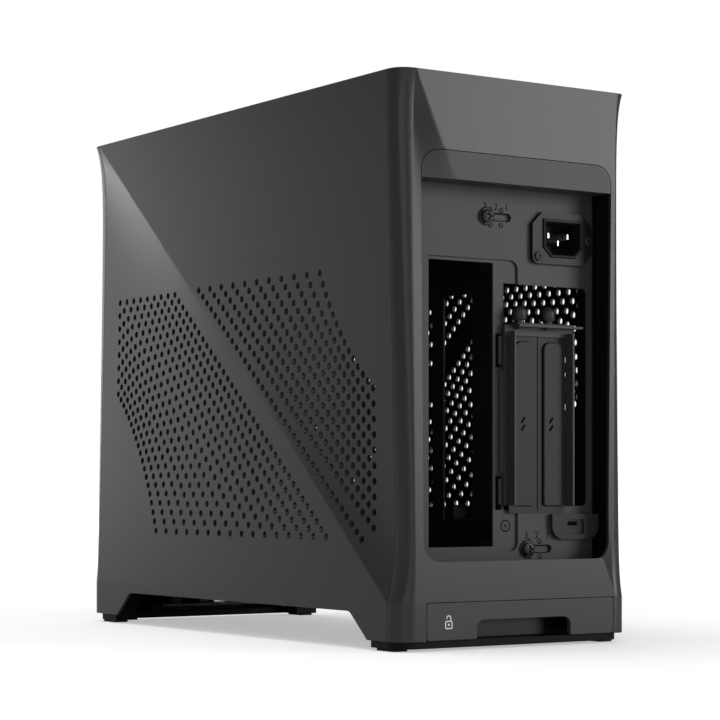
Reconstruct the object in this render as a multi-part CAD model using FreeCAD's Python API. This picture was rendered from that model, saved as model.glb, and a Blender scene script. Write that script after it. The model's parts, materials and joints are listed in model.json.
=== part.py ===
import FreeCAD, Part
import math
import os

# Mini-tower computer case, millimetres.
# +Z is up, +Y is the rear, +X is the perforated side; the origin is the floor under the centre.

Vector = FreeCAD.Vector

# Outer shell
case_width = 160.0
case_length = 355.0
case_height = 314.0
shell_sheet = 2.0
shell_bottom = 5.5
skirt_top = 26.5
round_corner = 11.5
tight_corner = 9.0
seam_gap = 0.3
side_hollow = 7.0
side_flare = 16.0
end_hollow = 3.7
end_flare = 11.0
crease_steps = (0.0, 8.0, 20.0, 45.0)
round_steps = 5
tight_steps = 4

# Perforation of the long sides
vent_top = 209.5
vent_bottom = 60.5
vent_margin = 30.5
front_field_gap = 20.5
front_field_drop = 60.0
front_field_foot = 85.5
rear_field_gap = 10.5
rear_field_head = 81.5
rear_field_high = 143.0
rear_field_low = 75.0
vent_bow = 14.0
front_vent_count = 6
rear_vent_count = 4
vent_pitch = 19.5
vent_radius = 4.6

# Foot cut-outs of the long sides
foot_cut_top = 20.5
foot_cut_front = 52.0
foot_cut_rear = 48.0
foot_cut_slope = 24.0
foot_cut_radius = 6.0

# Rear opening, its lip and the drawer notch
opening_bottom = 48.3
opening_drop = 42.0
opening_margin_round = 16.5
opening_margin_tight = 11.6
opening_radius = 11.0
lip_height = 15.7
lip_depth = 14.0
fit_gap = 0.4
drawer_margin_round = 18.6
drawer_margin_tight = 10.9

# Top panel
top_sink = 10.0
top_slot_width = 4.0
top_slot_length = 100.0
top_slot_pitch = 12.5
top_slot_count = 21

# Base
pad_height = 1.5
pad_length = 16.0
pad_width = 9.0
pad_inset = 8.0
base_inset = 2.0
base_ring = 13.0
base_wall = 3.0
runner_step = 3.0
runner_height = 1.2
leg_depth = 27.5
leg_width = 12.0
floor_height = 27.0
steel = 1.2
bend = 1.5
fan_opening = 112.0
fan_row = 246.0

# Chassis plates
frame_inset = 10.0
frame_flange = 14.0
rear_recess = 17.5
front_recess = 27.5
frame_drop = 22.0
bracket_inset = 18.0
bracket_flange = 10.0
board_opening_left = 52.0
board_opening_right = -14.0
board_opening_bottom = 52.8
board_opening_top = 216.3
board_opening_radius = 5.0
window_far = -64.0
window_bottom = 78.0
window_top = 203.0
window_radius = 3.0

# Spine
spine_gap = 0.2
spine_clear = 2.0
tray_offset = 6.4
flange_margin = 2.4
front_lip = 26.0
io_width = 44.45
io_height = 158.75
io_right = 2.5
io_bottom = 55.6
ear_length = 20.0
lower_ear_length = 28.0
lower_ear_height = 76.0
position_pitch = 7.6
upper_screw_x = 8.5
upper_screw_z = 240.0
lower_screw_x = -20.5
lower_screw_z = 53.8
screw_radius = 1.6
screw_gap = 0.5
screw_head_radius = 3.9
screw_head_height = 2.2
washer_radius = 5.2
washer_height = 0.9
head_sides = 12
shank_sides = 6
standoff_radius = 3.1
standoff_height = 6.5
board_hole_y = 154.94
board_hole_z = 157.48
board_rear_hole = 14.0
tray_rim = 14.0
post_setback = 59.0
post_width = 11.0
hook_width = 4.5
hook_length = 19.0
hook_low = 76.0
hook_high = 156.0
riser_length = 89.0
riser_width = 9.0
riser_height = 11.0
riser_drop = 9.0
riser_rear = 60.0

# Expansion slots
slot_pitch = 20.32
slot_centre = -27.3
slot_bottom = 75.0
slot_top = 174.0
cover_sheet = 0.8
cover_gap = 0.1
cover_width = 20.1
cover_rise = 2.4
pad_face_width = 12.3
pad_face_margin = 3.5
pad_face_round = 3.7
cage_head = 6.0
cage_bar_depth = 8.0
cage_bar_inset = 1.5
cage_bar_overhang = 6.4
cage_strip_left = 3.9
cage_strip_right = 4.2
cage_anchor_width = 5.7
cage_anchor_gap = 2.0
thumb_radius = 4.35
thumb_height = 8.2
thumb_neck = 3.0
thumb_neck_height = 1.8
thumb_shank = 1.5
thumb_offset = 3.5
thumb_shift = 5.7

# Lock tab
lock_margin = 16.3
lock_z = 66.2
lock_width = 34.0
lock_height = 14.4
lock_depth = 3.0
lock_round = 8.0
lock_field_width = 12.3
lock_field_height = 8.4
lock_field_drop = 3.0
lock_slot_width = 7.2
lock_slot_height = 2.4
lock_slot_shift = 1.4
lock_slot_drop = 4.2
lock_recess = 1.5

# Mains inlet
inlet_margin = 25.6
inlet_z = 230.2
inlet_width = 43.3
inlet_height = 29.4
inlet_flange = 2.5
inlet_corner = 7.0
inlet_body_width = 30.0
inlet_body_height = 22.0
inlet_body_depth = 18.0
socket_width = 25.0
socket_height = 18.0
socket_depth = 15.0
socket_corner = 4.5
pin_width = 2.0
pin_height = 4.0
pin_spread = 7.0
pin_rise = 2.0
inlet_screw_x = 17.6
inlet_screw_z = 10.6
inlet_screw_side = 18.6
inlet_screw_radius = 2.7
inlet_screw_height = 1.1

# Power supply bracket
psu_plate_y = -30.0
psu_width = 63.5
psu_height = 125.0
psu_left = 5.0
psu_rim = 9.0
psu_flange = 16.0

# Bottom drawer
drawer_gap = 0.4
drawer_plate = 3.0
drawer_shelf = 14.0
notch_width = 66.0
notch_centre = -5.0
notch_height = 16.3
notch_radius = 5.0
filter_height = 3.4
filter_rim = 7.0
filter_sheet = 0.6
filter_bays = 3
filter_rib = 4.0
filter_margin = 31.5

# Front ports and power button
port_gap = 0.3
board_thick = 1.6
board_height = 9.0
board_margin = 0.5
board_right = 40.0
board_depth = 21.0
boss_size = 6.0
usb_a_width = 13.2
usb_a_height = 5.8
usb_a_depth = 14.0
usb_a_inset = (11.5, 31.5)
usb_c_width = 9.0
usb_c_height = 3.3
usb_c_depth = 8.0
usb_c_inset = 49.5
port_wall = 0.7
jack_width = 8.0
jack_height = 6.0
jack_depth = 11.0
jack_inset = 63.5
jack_radius = 1.8
button_x = 24.0
button_z = 15.5
button_radius = 6.0
button_collar = 7.5
button_collar_thick = 1.2
button_stem = 2.5
button_stem_length = 3.2
button_travel = 1.5
button_sides = 24
switch_size = 8.0
switch_depth = 6.0

# Places worked out from the sizes above
half_width = case_width / 2
half_length = case_length / 2
side_front = -(half_length - tight_corner)
side_rear = half_length - round_corner
end_left = half_width - round_corner
end_right = -(half_width - tight_corner)
facet_span = case_height - skirt_top
frame_half = half_width - frame_inset
rear_face = half_length - rear_recess
front_face = -(half_length - front_recess)
frame_top = case_height - frame_drop
floor_top = floor_height + steel
base_half_width = half_width - base_inset
base_half_length = half_length - base_inset
rail_inner = base_half_width - base_ring - base_wall
spine_face = rear_face - steel - spine_gap
spine_front = front_face + steel + spine_gap
spine_low = floor_top + spine_clear
spine_high = frame_top - steel - bracket_flange + spine_clear
spine_travel = 2 * position_pitch
tray_face = -tray_offset
cage_face = rear_face + cover_sheet + 2 * cover_gap
cage_bar_height = slot_top + cage_head
opening_top = case_height - opening_drop
lip_bottom = opening_top - lip_height
filter_front = half_length - filter_margin
lock_x = lock_margin - frame_half
inlet_x = inlet_margin - frame_half
board_left = board_margin - rail_inner
usb_a_x = tuple(board_left + inset for inset in usb_a_inset)
usb_c_x = board_left + usb_c_inset
jack_x = board_left + jack_inset
post_rear = rear_face - post_setback


def flat(plane, a, b, level):
    """A point of a drawing plane as a point in space."""
    if plane == "xy":
        return Vector(a, b, level)
    if plane == "xz":
        return Vector(a, level, b)
    return Vector(level, a, b)


def rounded_wire(points, radii, plane, level):
    """A closed outline with each corner rounded by its own radius."""
    corners = [Vector(a, b, 0) for a, b in points]
    count = len(corners)
    marks = []
    for index, corner in enumerate(corners):
        before = (corners[index - 1] - corner).normalize()
        after = (corners[(index + 1) % count] - corner).normalize()
        radius = radii[index]
        if radius <= 0:
            marks.append((corner, corner, corner))
            continue
        half_angle = before.getAngle(after) / 2
        reach = radius / math.tan(half_angle)
        middle = (before + after).normalize()
        centre = corner + middle * (radius / math.sin(half_angle))
        marks.append((corner + before * reach, centre - middle * radius, corner + after * reach))
    edges = []
    for index, (start, bulge, end) in enumerate(marks):
        following = marks[(index + 1) % count][0]
        spots = [flat(plane, p.x, p.y, level) for p in (start, bulge, end, following)]
        if (end - start).Length > 1e-6:
            edges.append(Part.Arc(spots[0], spots[1], spots[2]).toShape())
        if (following - end).Length > 1e-6:
            edges.append(Part.makeLine(spots[2], spots[3]))
    return Part.Wire(edges)


def prism(points, radii, plane, low, high):
    """An outline of a drawing plane, carried from low to high along the third axis."""
    face = Part.Face(rounded_wire(points, radii, plane, low))
    return face.extrude(flat(plane, 0, 0, high - low))


def slab(plane, a0, a1, b0, b1, low, high, radius=0.0):
    """A rectangular plate or cutter with rounded corners."""
    points = [(a0, b0), (a1, b0), (a1, b1), (a0, b1)]
    return prism(points, [radius] * 4, plane, low, high)


def folded(path, thickness, plane, low, high):
    """A sheet bent along an open path; the sheet lies to the left of the path."""
    points = [Vector(a, b, 0) for a, b in path]
    runs = [(q - p).normalize() for p, q in zip(points, points[1:])]
    left = [Vector(-run.y, run.x, 0) for run in runs]
    outer_radii = []
    inner = [points[0] + left[0] * thickness]
    inner_radii = []
    for index in range(1, len(runs)):
        mitre = (left[index - 1] + left[index]).normalize()
        inner.append(points[index] + mitre * (thickness / mitre.dot(left[index])))
        turns_left = runs[index - 1].cross(runs[index]).z > 0
        outer_radii.append(bend + thickness if turns_left else bend)
        inner_radii.append(bend if turns_left else bend + thickness)
    inner.append(points[-1] + left[-1] * thickness)
    outline = [(p.x, p.y) for p in points + inner[::-1]]
    radii = [0] + outer_radii + [0, 0] + inner_radii[::-1] + [0]
    return prism(outline, radii, plane, low, high)


def regular(count, radius, a, b):
    """Corners of a regular outline round a centre."""
    return [(a + radius * math.cos(2 * math.pi * k / count), b + radius * math.sin(2 * math.pi * k / count))
            for k in range(count)]


def post(count, radius, plane, a, b, low, high):
    """A many-sided post round a centre."""
    return prism(regular(count, radius, a, b), [0] * count, plane, low, high)


def half_turn(shape):
    """The shape turned half round the case's upright axis."""
    copy = shape.copy()
    copy.rotate(Vector(0, 0, 0), Vector(0, 0, 1), 180)
    return copy


def group(shapes):
    """Several separate solids kept as one piece of hardware."""
    return Part.makeCompound(shapes)


def hollow(distance, depth, flare):
    """How far an upright edge lies inside the rim: it flares in fast from one end, then fades."""
    return depth * (1 - distance / facet_span) * (1 - math.exp(-distance / flare))


def from_top(z, depth, flare):
    """Hollow of the edge that carries a face's high tip."""
    return hollow(case_height - z, depth, flare)


def from_skirt(z, depth, flare):
    """Hollow of the edge that carries a face's low tip."""
    return hollow(z - skirt_top, depth, flare)


# Heights where the sheet is creased, closer together at both ends
stations = [skirt_top + step for step in crease_steps]
stations += [case_height - step for step in reversed(crease_steps)]


def fan(tip, edge, inward):
    """A cone bent up from flat triangles: from the tip to every stretch of an upright edge."""
    points = [edge(z) for z in stations]
    outlines = [Part.makePolygon([tip, p, q, tip]) for p, q in zip(points, points[1:])
                if (p - tip).cross(q - tip).Length > 1e-6]
    return [Part.Face(outline).extrude(inward) for outline in outlines]


def facets(left_edge, right_edge, high_tip, low_tip, inward):
    """Two cone-like facets that meet in a straight ridge from the high tip to the low tip."""
    return fan(high_tip, right_edge, inward) + fan(low_tip, left_edge, inward)


def corner_row(first, turn, last, steps):
    """A corner's plan curve in short straight steps; it leaves both walls along their own directions."""
    shares = [k / steps for k in range(steps + 1)]
    return [first * (1 - k) ** 2 + turn * (2 * k * (1 - k)) + last * k ** 2 for k in shares]


def corner_sheet(plan, steps):
    """A rounded upright corner: flat triangles between its plans at the stations, outside and inside."""
    outer = [corner_row(*plan(z, 0), steps) for z in stations]
    inner = [corner_row(*plan(z, shell_sheet), steps) for z in stations]
    outlines = []
    for rows in (outer, inner):
        for low, high in zip(rows, rows[1:]):
            for k in range(steps):
                outlines.append([low[k], low[k + 1], high[k + 1]])
                outlines.append([low[k], high[k + 1], high[k]])
    for k in (0, steps):
        outlines.append([row[k] for row in outer] + [row[k] for row in reversed(inner)])
    for level in (0, -1):
        outlines.append(outer[level] + inner[level][::-1])
    faces = [Part.Face(Part.makePolygon(points + points[:1])) for points in outlines]
    return Part.Solid(Part.Shell(Part.makeShell(faces).Faces))


def crease_y(z):
    """Where the ridge of the long side lies at a height."""
    return side_front + (case_height - z) / facet_span * (side_rear - side_front)


def between(p, q, share):
    """A point part of the way from p to q."""
    return (p[0] + (q[0] - p[0]) * share, p[1] + (q[1] - p[1]) * share)


def along(points, distance):
    """The point at a distance along an open path."""
    for p, q in zip(points, points[1:]):
        run = math.dist(p, q)
        if distance <= run:
            return between(p, q, distance / run)
        distance -= run
    return points[-1]


def path_length(points):
    """Length of an open path."""
    return sum(math.dist(p, q) for p, q in zip(points, points[1:]))


def vent_line(start, finish, bow):
    """Hole centres on one bowed line of a fan, evenly spaced."""
    middle = between(start, finish, 0.5)
    length = math.dist(start, finish)
    control = (middle[0] - (finish[1] - start[1]) / length * bow,
               middle[1] + (finish[0] - start[0]) / length * bow)
    count = max(2, round(length / vent_pitch))
    centres = []
    for step in range(count + 1):
        share = step / count
        centres.append(between(between(start, control, share), between(control, finish, share), share))
    return centres


def vent_centres():
    """Hole centres of the two fans, as (y, z) on the long side."""
    reach = half_length - vent_margin
    front_start = [(crease_y(vent_top) - front_field_gap, vent_top), (-reach, vent_top),
                   (-reach, vent_top - front_field_drop)]
    front_finish = [(crease_y(vent_bottom) - front_field_gap, vent_bottom),
                    (front_field_foot - half_length, vent_bottom)]
    rear_start = [(crease_y(vent_top) + rear_field_gap, vent_top), (half_length - rear_field_head, vent_top)]
    rear_finish = [(crease_y(vent_bottom) + rear_field_gap, vent_bottom), (reach, rear_field_low),
                   (reach, rear_field_high)]
    fans = [(front_start, front_finish, front_vent_count, 1), (rear_start, rear_finish, rear_vent_count, -1)]
    centres = []
    for starts, finishes, lines, side in fans:
        for index in range(lines):
            share = index / (lines - 1)
            start = along(starts, share * path_length(starts))
            finish = along(finishes, share * path_length(finishes))
            centres += vent_line(start, finish, side * vent_bow * share ** 2)
    return centres


def foot_cut():
    """Cutter of the wide cut-out between the front and rear feet of a long side."""
    front = -(half_length - foot_cut_front)
    rear = half_length - foot_cut_rear
    outline = [(front - foot_cut_slope, 0), (rear + foot_cut_slope, 0), (rear, foot_cut_top),
               (front, foot_cut_top)]
    radii = [0, 0, foot_cut_radius, foot_cut_radius]
    return prism(outline, radii, "yz", half_width - 2 * shell_sheet, half_width + shell_sheet)


def make_side_panel():
    """Long side: two facets on a ridge, a straight skirt, the vents and the foot cut-out."""
    front = side_front + seam_gap
    rear = side_rear - seam_gap
    inward = Vector(-shell_sheet, 0, 0)
    sheets = facets(
        lambda z: Vector(half_width - from_top(z, side_hollow, side_flare), front, z),
        lambda z: Vector(half_width - from_skirt(z, side_hollow, side_flare), rear, z),
        Vector(half_width, front, case_height), Vector(half_width, rear, skirt_top), inward)
    skirt = slab("yz", front, rear, shell_bottom, skirt_top, half_width - shell_sheet, half_width)
    panel = skirt.fuse(sheets).removeSplitter()
    holes = [post(6, vent_radius, "yz", y, z, half_width - side_hollow - 2 * shell_sheet, half_width + 1)
             for y, z in vent_centres()]
    return panel.cut(holes + [foot_cut()]).removeSplitter()


def end_section(level):
    """The rear sheet's plan at the skirt, both corners included."""
    t = shell_sheet
    round_x, tight_x = half_width, -half_width
    outer = [Vector(round_x, side_rear, level), Vector(round_x, half_length, level),
             Vector(end_left, half_length, level),
             Vector(end_right, half_length, level), Vector(tight_x, half_length, level),
             Vector(tight_x, half_length - tight_corner, level)]
    shifts = [(-t, 0), (-t, -t), (0, -t), (0, -t), (t, -t), (t, 0)]
    inner = [p + Vector(dx, dy, 0) for p, (dx, dy) in zip(outer, shifts)]
    outline = []
    for line in (outer, inner):
        rows = corner_row(*line[:3], round_steps) + corner_row(*line[3:], tight_steps)
        outline += rows if line is outer else rows[::-1]
    return Part.Face(Part.makePolygon(outline + outline[:1]))


def end_facets(depth):
    """The rear face's two facets, carried inward by a depth."""
    return facets(
        lambda z: Vector(end_left, half_length - from_top(z, end_hollow, end_flare), z),
        lambda z: Vector(end_right, half_length - from_skirt(z, end_hollow, end_flare), z),
        Vector(end_left, half_length, case_height), Vector(end_right, half_length, skirt_top),
        Vector(0, -depth, 0))


def make_end_panel():
    """Short side with both its corners: facets on a ridge over a straight skirt."""

    def near_side(z):
        return half_width - from_skirt(z, side_hollow, side_flare)

    def far_side(z):
        return -(half_width - from_top(z, side_hollow, side_flare))

    def near_end(z):
        return half_length - from_top(z, end_hollow, end_flare)

    def far_end(z):
        return half_length - from_skirt(z, end_hollow, end_flare)

    def round_plan(z, depth):
        x = near_side(z) - depth
        y = near_end(z) - depth
        return Vector(x, side_rear, z), Vector(x, y, z), Vector(end_left, y, z)

    def tight_plan(z, depth):
        x = far_side(z) + depth
        y = far_end(z) - depth
        return Vector(end_right, y, z), Vector(x, y, z), Vector(x, half_length - tight_corner, z)

    corners = [corner_sheet(round_plan, round_steps), corner_sheet(tight_plan, tight_steps)]
    skirt = end_section(shell_bottom).extrude(Vector(0, 0, skirt_top - shell_bottom))
    return skirt.fuse(end_facets(shell_sheet) + corners).removeSplitter()


def opening_cutter(gap, low, high, radius):
    """The rear opening's outline, shrunk by a gap."""
    left = half_width - opening_margin_round - gap
    right = -(half_width - opening_margin_tight) + gap
    return slab("xz", right, left, low, high, rear_face, half_length + shell_sheet, radius)


def make_rear_panel(end_panel):
    """Rear sheet with the large opening and the notch for the drawer."""
    opening = opening_cutter(0, opening_bottom, opening_top, opening_radius)
    notch = slab("xz", -(half_width - drawer_margin_tight) - drawer_gap,
                 half_width - drawer_margin_round + drawer_gap,
                 0, skirt_top, rear_face, half_length + shell_sheet)
    return end_panel.cut([opening, notch])


def make_rear_lip():
    """Flush infill at the top of the rear opening, hollow behind its face."""
    sheets = end_facets(lip_depth)
    outline = opening_cutter(fit_gap, opening_bottom + fit_gap, opening_top - fit_gap,
                             opening_radius - fit_gap)
    above = slab("xz", -case_width, case_width, lip_bottom, case_height, 0, case_length)
    block = sheets[0].fuse(sheets[1:]).common(outline).common(above)
    left = half_width - opening_margin_round - fit_gap
    right = -(half_width - opening_margin_tight) + fit_gap
    cavity = slab("xz", right + opening_radius, left - opening_radius, lip_bottom + shell_sheet,
                  opening_top - fit_gap - shell_sheet, 0, half_length - end_hollow - 2 * shell_sheet)
    return block.cut(cavity).removeSplitter()


def make_front_panel(end_panel):
    """Front sheet: the rear sheet's twin with the button hole and the port cut-outs."""
    panel = half_turn(end_panel)
    low = -half_length - shell_sheet
    high = -half_length + 2 * shell_sheet
    port_base = board_height + board_thick
    cutters = [slab("xz", x - usb_a_width / 2, x + usb_a_width / 2, port_base, port_base + usb_a_height,
                    low, high)
               for x in usb_a_x]
    cutters.append(slab("xz", usb_c_x - usb_c_width / 2, usb_c_x + usb_c_width / 2, port_base,
                        port_base + usb_c_height, low, high, usb_c_height / 2))
    jack_z = port_base + jack_height / 2
    cutters.append(Part.makeCylinder(jack_radius + port_gap, high - low, Vector(jack_x, low, jack_z),
                                     Vector(0, 1, 0)))
    cutters.append(Part.makeCylinder(button_radius + port_gap, high - low, Vector(button_x, low, button_z),
                                     Vector(0, 1, 0)))
    return panel.cut(cutters)


def make_top_panel():
    """Slotted sheet just under the rim, cut to the shell's inside at its own height."""
    z = case_height - top_sink
    inset = shell_sheet + fit_gap
    half_w = half_width - from_top(z, side_hollow, side_flare) - inset
    half_l = half_length - from_top(z, end_hollow, end_flare) - inset
    panel = slab("xy", -half_w, half_w, -half_l, half_l, z, z + shell_sheet, tight_corner)
    first = -(top_slot_count - 1) / 2 * top_slot_pitch
    slots = [slab("xy", -top_slot_length / 2, top_slot_length / 2,
                  first + k * top_slot_pitch - top_slot_width / 2,
                  first + k * top_slot_pitch + top_slot_width / 2, z - 1, z + 2 * shell_sheet)
             for k in range(top_slot_count)]
    return panel.cut(slots)


def make_base_frame():
    """Moulded base: a foot bar under each end, four legs and a raised frame with the filter's runners."""
    ring = slab("xy", -base_half_width, base_half_width, -base_half_length, base_half_length,
                pad_height, shell_bottom, round_corner)
    wall_end = base_half_length - base_ring
    hole = slab("xy", -rail_inner, rail_inner, -wall_end, wall_end, 0, shell_bottom + 1, bend)
    leg_end = base_half_length - leg_depth
    between_feet = slab("xy", -half_width, half_width, -leg_end, leg_end, 0, shell_bottom + 1)
    wall_front = -(filter_front + drawer_gap + base_wall)
    outer = rail_inner + base_wall
    wall = folded([(-outer, wall_end), (-outer, wall_front), (outer, wall_front), (outer, wall_end)],
                  base_wall, "xy", foot_cut_top, floor_height)
    legs = [slab("xy", sx * rail_inner, sx * (rail_inner + leg_width), sy * leg_end, sy * wall_end,
                 pad_height, floor_height) for sx in (-1, 1) for sy in (-1, 1)]
    runners = [slab("xy", side * rail_inner, side * (rail_inner - runner_step), wall_front + base_wall,
                    wall_end,
                    foot_cut_top, foot_cut_top + runner_height) for side in (-1, 1)]
    boss_low = -base_half_length + bend
    bosses = [slab("xy", x, x + boss_size, boss_low, boss_low + boss_size, pad_height, board_height)
              for x in (board_left, board_right - boss_size)]
    return ring.cut([hole, between_feet]).fuse([wall] + legs + runners + bosses).removeSplitter()


def make_rubber_feet():
    """Four pads under the foot bars."""
    x = base_half_width - bend - pad_width
    y = base_half_length - pad_inset - pad_length
    return group([slab("xy", sx * x, sx * (x + pad_width), sy * y, sy * (y + pad_length), 0, pad_height)
                  for sx in (-1, 1) for sy in (-1, 1)])


def fan_cutter(z_low, z_high):
    """Opening for a row of two fans or a radiator."""
    return slab("xy", -fan_opening / 2, fan_opening / 2, -fan_row / 2, fan_row / 2, z_low, z_high)


def make_floor_plate():
    """Steel floor on the base wall, open over the filter."""
    half = rail_inner + base_wall
    plate = slab("xy", -half, half, front_face, rear_face, floor_height, floor_top)
    return plate.cut(fan_cutter(floor_height - 1, floor_top + 1))


def adjuster_places():
    """Where the two adjusting screws sit, as (x, z)."""
    return (upper_screw_x, upper_screw_z), (lower_screw_x, lower_screw_z)


def adjuster_slot(x, z):
    """Slot in the rear plate that an adjusting screw travels along."""
    half = screw_radius + screw_gap
    return slab("xz", x - spine_travel - half, x + half, z - half, z + half, rear_face - 2 * steel,
                rear_face + 1, half)


def make_rear_frame():
    """Recessed rear plate with side flanges, board opening, slot window, inlet hole and adjuster slots."""
    inner = rear_face - frame_flange
    plate = folded([(frame_half, inner), (frame_half, rear_face), (-frame_half, rear_face),
                    (-frame_half, inner)],
                   steel, "xy", floor_top, frame_top)
    low = rear_face - 2 * steel
    high = rear_face + 1
    cutters = [
        slab("xz", board_opening_right, board_opening_left, board_opening_bottom, board_opening_top, low,
             high,
             board_opening_radius),
        slab("xz", window_far, board_opening_right + board_opening_radius, window_bottom, window_top, low,
             high,
             window_radius),
        slab("xz", inlet_x - inlet_body_width / 2 - fit_gap, inlet_x + inlet_body_width / 2 + fit_gap,
             inlet_z - inlet_body_height / 2 - fit_gap, inlet_z + inlet_body_height / 2 + fit_gap, low, high),
        ] + [adjuster_slot(x, z) for x, z in adjuster_places()]
    return plate.cut(cutters)


def make_front_frame():
    """Front plate with side flanges and one large opening."""
    inner = front_face + frame_flange
    plate = folded([(-frame_half, inner), (-frame_half, front_face), (frame_half, front_face),
                    (frame_half, inner)],
                   steel, "xy", floor_top, frame_top)
    rim = frame_flange
    opening = slab("xz", -frame_half + rim, frame_half - rim, floor_top + 3 * rim, frame_top - 2 * rim,
                   front_face - 1, front_face + 2 * steel)
    return plate.cut(opening)


def make_top_bracket():
    """Bracket across the top of both plates, open for two fans."""
    half = half_width - bracket_inset
    top = frame_top + steel
    plate = folded([(half, frame_top - bracket_flange), (half, top), (-half, top),
                    (-half, frame_top - bracket_flange)],
                   steel, "xz", front_face + frame_flange, rear_face - frame_flange)
    tongues = [slab("xy", -half + bend + steel, half - bend - steel, low, high, frame_top, top)
               for low, high in ((front_face, front_face + frame_flange),
                                 (rear_face - frame_flange, rear_face))]
    return plate.fuse(tongues).cut(fan_cutter(frame_top - 1, top + 1)).removeSplitter()


def make_psu_bracket():
    """Plate for a small power supply, hung from the top bracket by a flange."""
    low = frame_top - psu_height
    path = [(psu_plate_y, low), (psu_plate_y, frame_top), (psu_plate_y - psu_flange, frame_top)]
    bracket = folded(path, steel, "yz", psu_left, psu_left + psu_width - bracket_flange)
    opening = slab("xz", psu_left + psu_rim, psu_left + psu_width - bracket_flange - psu_rim, low + psu_rim,
                   frame_top - 2 * psu_rim, psu_plate_y - 2 * steel, psu_plate_y + 2 * steel)
    return bracket.cut(opening)


def make_spine_tray():
    """Folded tray between the two chambers with the board's rear flange, its ears and a front lip."""
    flange_end = frame_half - flange_margin
    path = [(tray_face + front_lip, spine_front), (tray_face, spine_front), (tray_face, spine_face),
            (flange_end, spine_face)]
    tray = folded(path[::-1], steel, "xy", spine_low, spine_high)
    flange_low = spine_face - steel
    ears = [slab("xz", tray_face - ear_length, tray_face + bend + steel, window_top + fit_gap,
                 board_opening_top + steel,
                 flange_low, spine_face),
            slab("xz", tray_face - lower_ear_length, tray_face + bend + steel, spine_low, lower_ear_height,
                 flange_low, spine_face)]
    io_opening = slab("xz", io_right, io_right + io_width, io_bottom, io_bottom + io_height, flange_low - 1,
                      spine_face + 1)
    screw_holes = [Part.makeCylinder(screw_radius + spine_gap, 4 * steel, Vector(x, flange_low - steel, z),
                                     Vector(0, 1, 0))
                   for x, z in adjuster_places()]
    low = board_middle() - board_hole_z / 2 + tray_rim
    high = board_middle() + board_hole_z / 2 - tray_rim
    rear_hole = rear_face - board_rear_hole
    front_hole = rear_hole - board_hole_y
    spans = ((post_rear, rear_hole - tray_rim - standoff_radius),
             (front_hole + tray_rim, post_rear - post_width),
             (spine_front + 2 * tray_rim, front_hole - tray_rim))
    windows = [slab("yz", start, end, low, high, tray_face - 1, tray_face + 2 * steel) for start,
               end in spans]
    hook_right = tray_face + bend + steel
    hook_slots = [slab("xz", hook_right, hook_right + hook_width, z, z + hook_length, flange_low - 1,
                       spine_face + 1)
                  for z in (hook_low, hook_high)]
    return tray.fuse(ears).cut([io_opening] + windows + hook_slots + screw_holes).removeSplitter()


def board_middle():
    """Height of the board's centre, which is the port opening's centre."""
    return io_bottom + io_height / 2


def make_board_standoffs():
    """Four hexagonal standoffs on the board's hole pattern."""
    base = tray_face + steel
    middle = board_middle()
    posts = []
    for y in (rear_face - board_rear_hole, rear_face - board_rear_hole - board_hole_y):
        for z in (middle - board_hole_z / 2, middle + board_hole_z / 2):
            posts.append(post(6, standoff_radius, "yz", y, z, base, base + standoff_height))
    return group(posts)


def make_adjusting_screws():
    """Two screws that clamp the spine to the rear plate."""
    seat = rear_face + spine_gap + washer_height
    tail = spine_face - 2 * steel
    return group([post(head_sides, screw_head_radius, "xz", x, z, seat, seat + screw_head_height).fuse(
        post(shank_sides, screw_radius, "xz", x, z, tail, seat)) for x, z in adjuster_places()])


def make_adjusting_washers():
    """Washers under the two adjusting screws."""
    low = rear_face + spine_gap
    high = low + washer_height
    return group([post(head_sides, washer_radius, "xz", x, z, low, high).cut(
        post(shank_sides, screw_radius + spine_gap, "xz", x, z, low, high)) for x, z in adjuster_places()])


def make_riser_bracket():
    """Angle on the card side of the tray that carries the riser slot."""
    low = slot_bottom - riser_drop
    path = [(tray_face, low - riser_height), (tray_face, low), (tray_face - 2 * riser_height, low)]
    return folded(path, steel, "xz", rear_face - riser_rear - riser_length, rear_face - riser_rear)


def make_riser_slot():
    """Card socket on the riser bracket."""
    front = rear_face - riser_rear - riser_length + bend
    rear = rear_face - riser_rear - bend
    centre = tray_face - riser_height - bend
    low = slot_bottom - riser_drop
    half = riser_width / 2
    body = slab("xy", centre - half, centre + half, front, rear, low, low + riser_height)
    mouth = slab("xy", centre - port_wall, centre + port_wall, front + bend, rear - bend, low + bend,
                 low + 2 * riser_height)
    return body.cut(mouth)


def make_slot_cage():
    """Bracket round the slots: two walls, a strip and a bar over them, anchored on the spine."""
    left = slot_centre + slot_pitch
    right = slot_centre - slot_pitch
    outer = cage_face + cage_bar_depth
    low = window_bottom + fit_gap
    high = slot_top + 2 * steel
    bar = slab("xy", right - cage_bar_overhang, left - cage_bar_inset, cage_face, outer,
               cage_bar_height - steel, cage_bar_height)
    strip = slab("xz", right - cage_strip_right, left + cage_strip_left, slot_top, cage_bar_height,
                 cage_face, cage_face + steel)
    walls = [slab("xz", left, left + steel, low, high, spine_face, outer - steel),
             slab("xz", right - steel, right, low, high, cage_face, outer - steel)]
    anchor = slab("xz", left, left + cage_anchor_width, low, slot_top, spine_face, spine_face + steel)
    hook_right = tray_face + bend + steel
    hook_gaps = [slab("xz", hook_right - fit_gap, left + 2 * cage_anchor_width, z - cage_anchor_gap,
                      z + hook_length + cage_anchor_gap, spine_face - 1, rear_face) for z in (hook_low, hook_high)]
    holes = [Part.makeCylinder(thumb_shank + spine_gap, 4 * steel, Vector(x, y, cage_bar_height - 3 * steel))
             for x, y in thumb_places()]
    return bar.fuse([strip, anchor.cut(hook_gaps)] + walls).cut(holes).removeSplitter()


def thumb_places():
    """Where the thumbscrews stand on the bar, as (x, y)."""
    return [(x + thumb_shift, cage_face + thumb_offset) for x in slot_places()]


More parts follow.
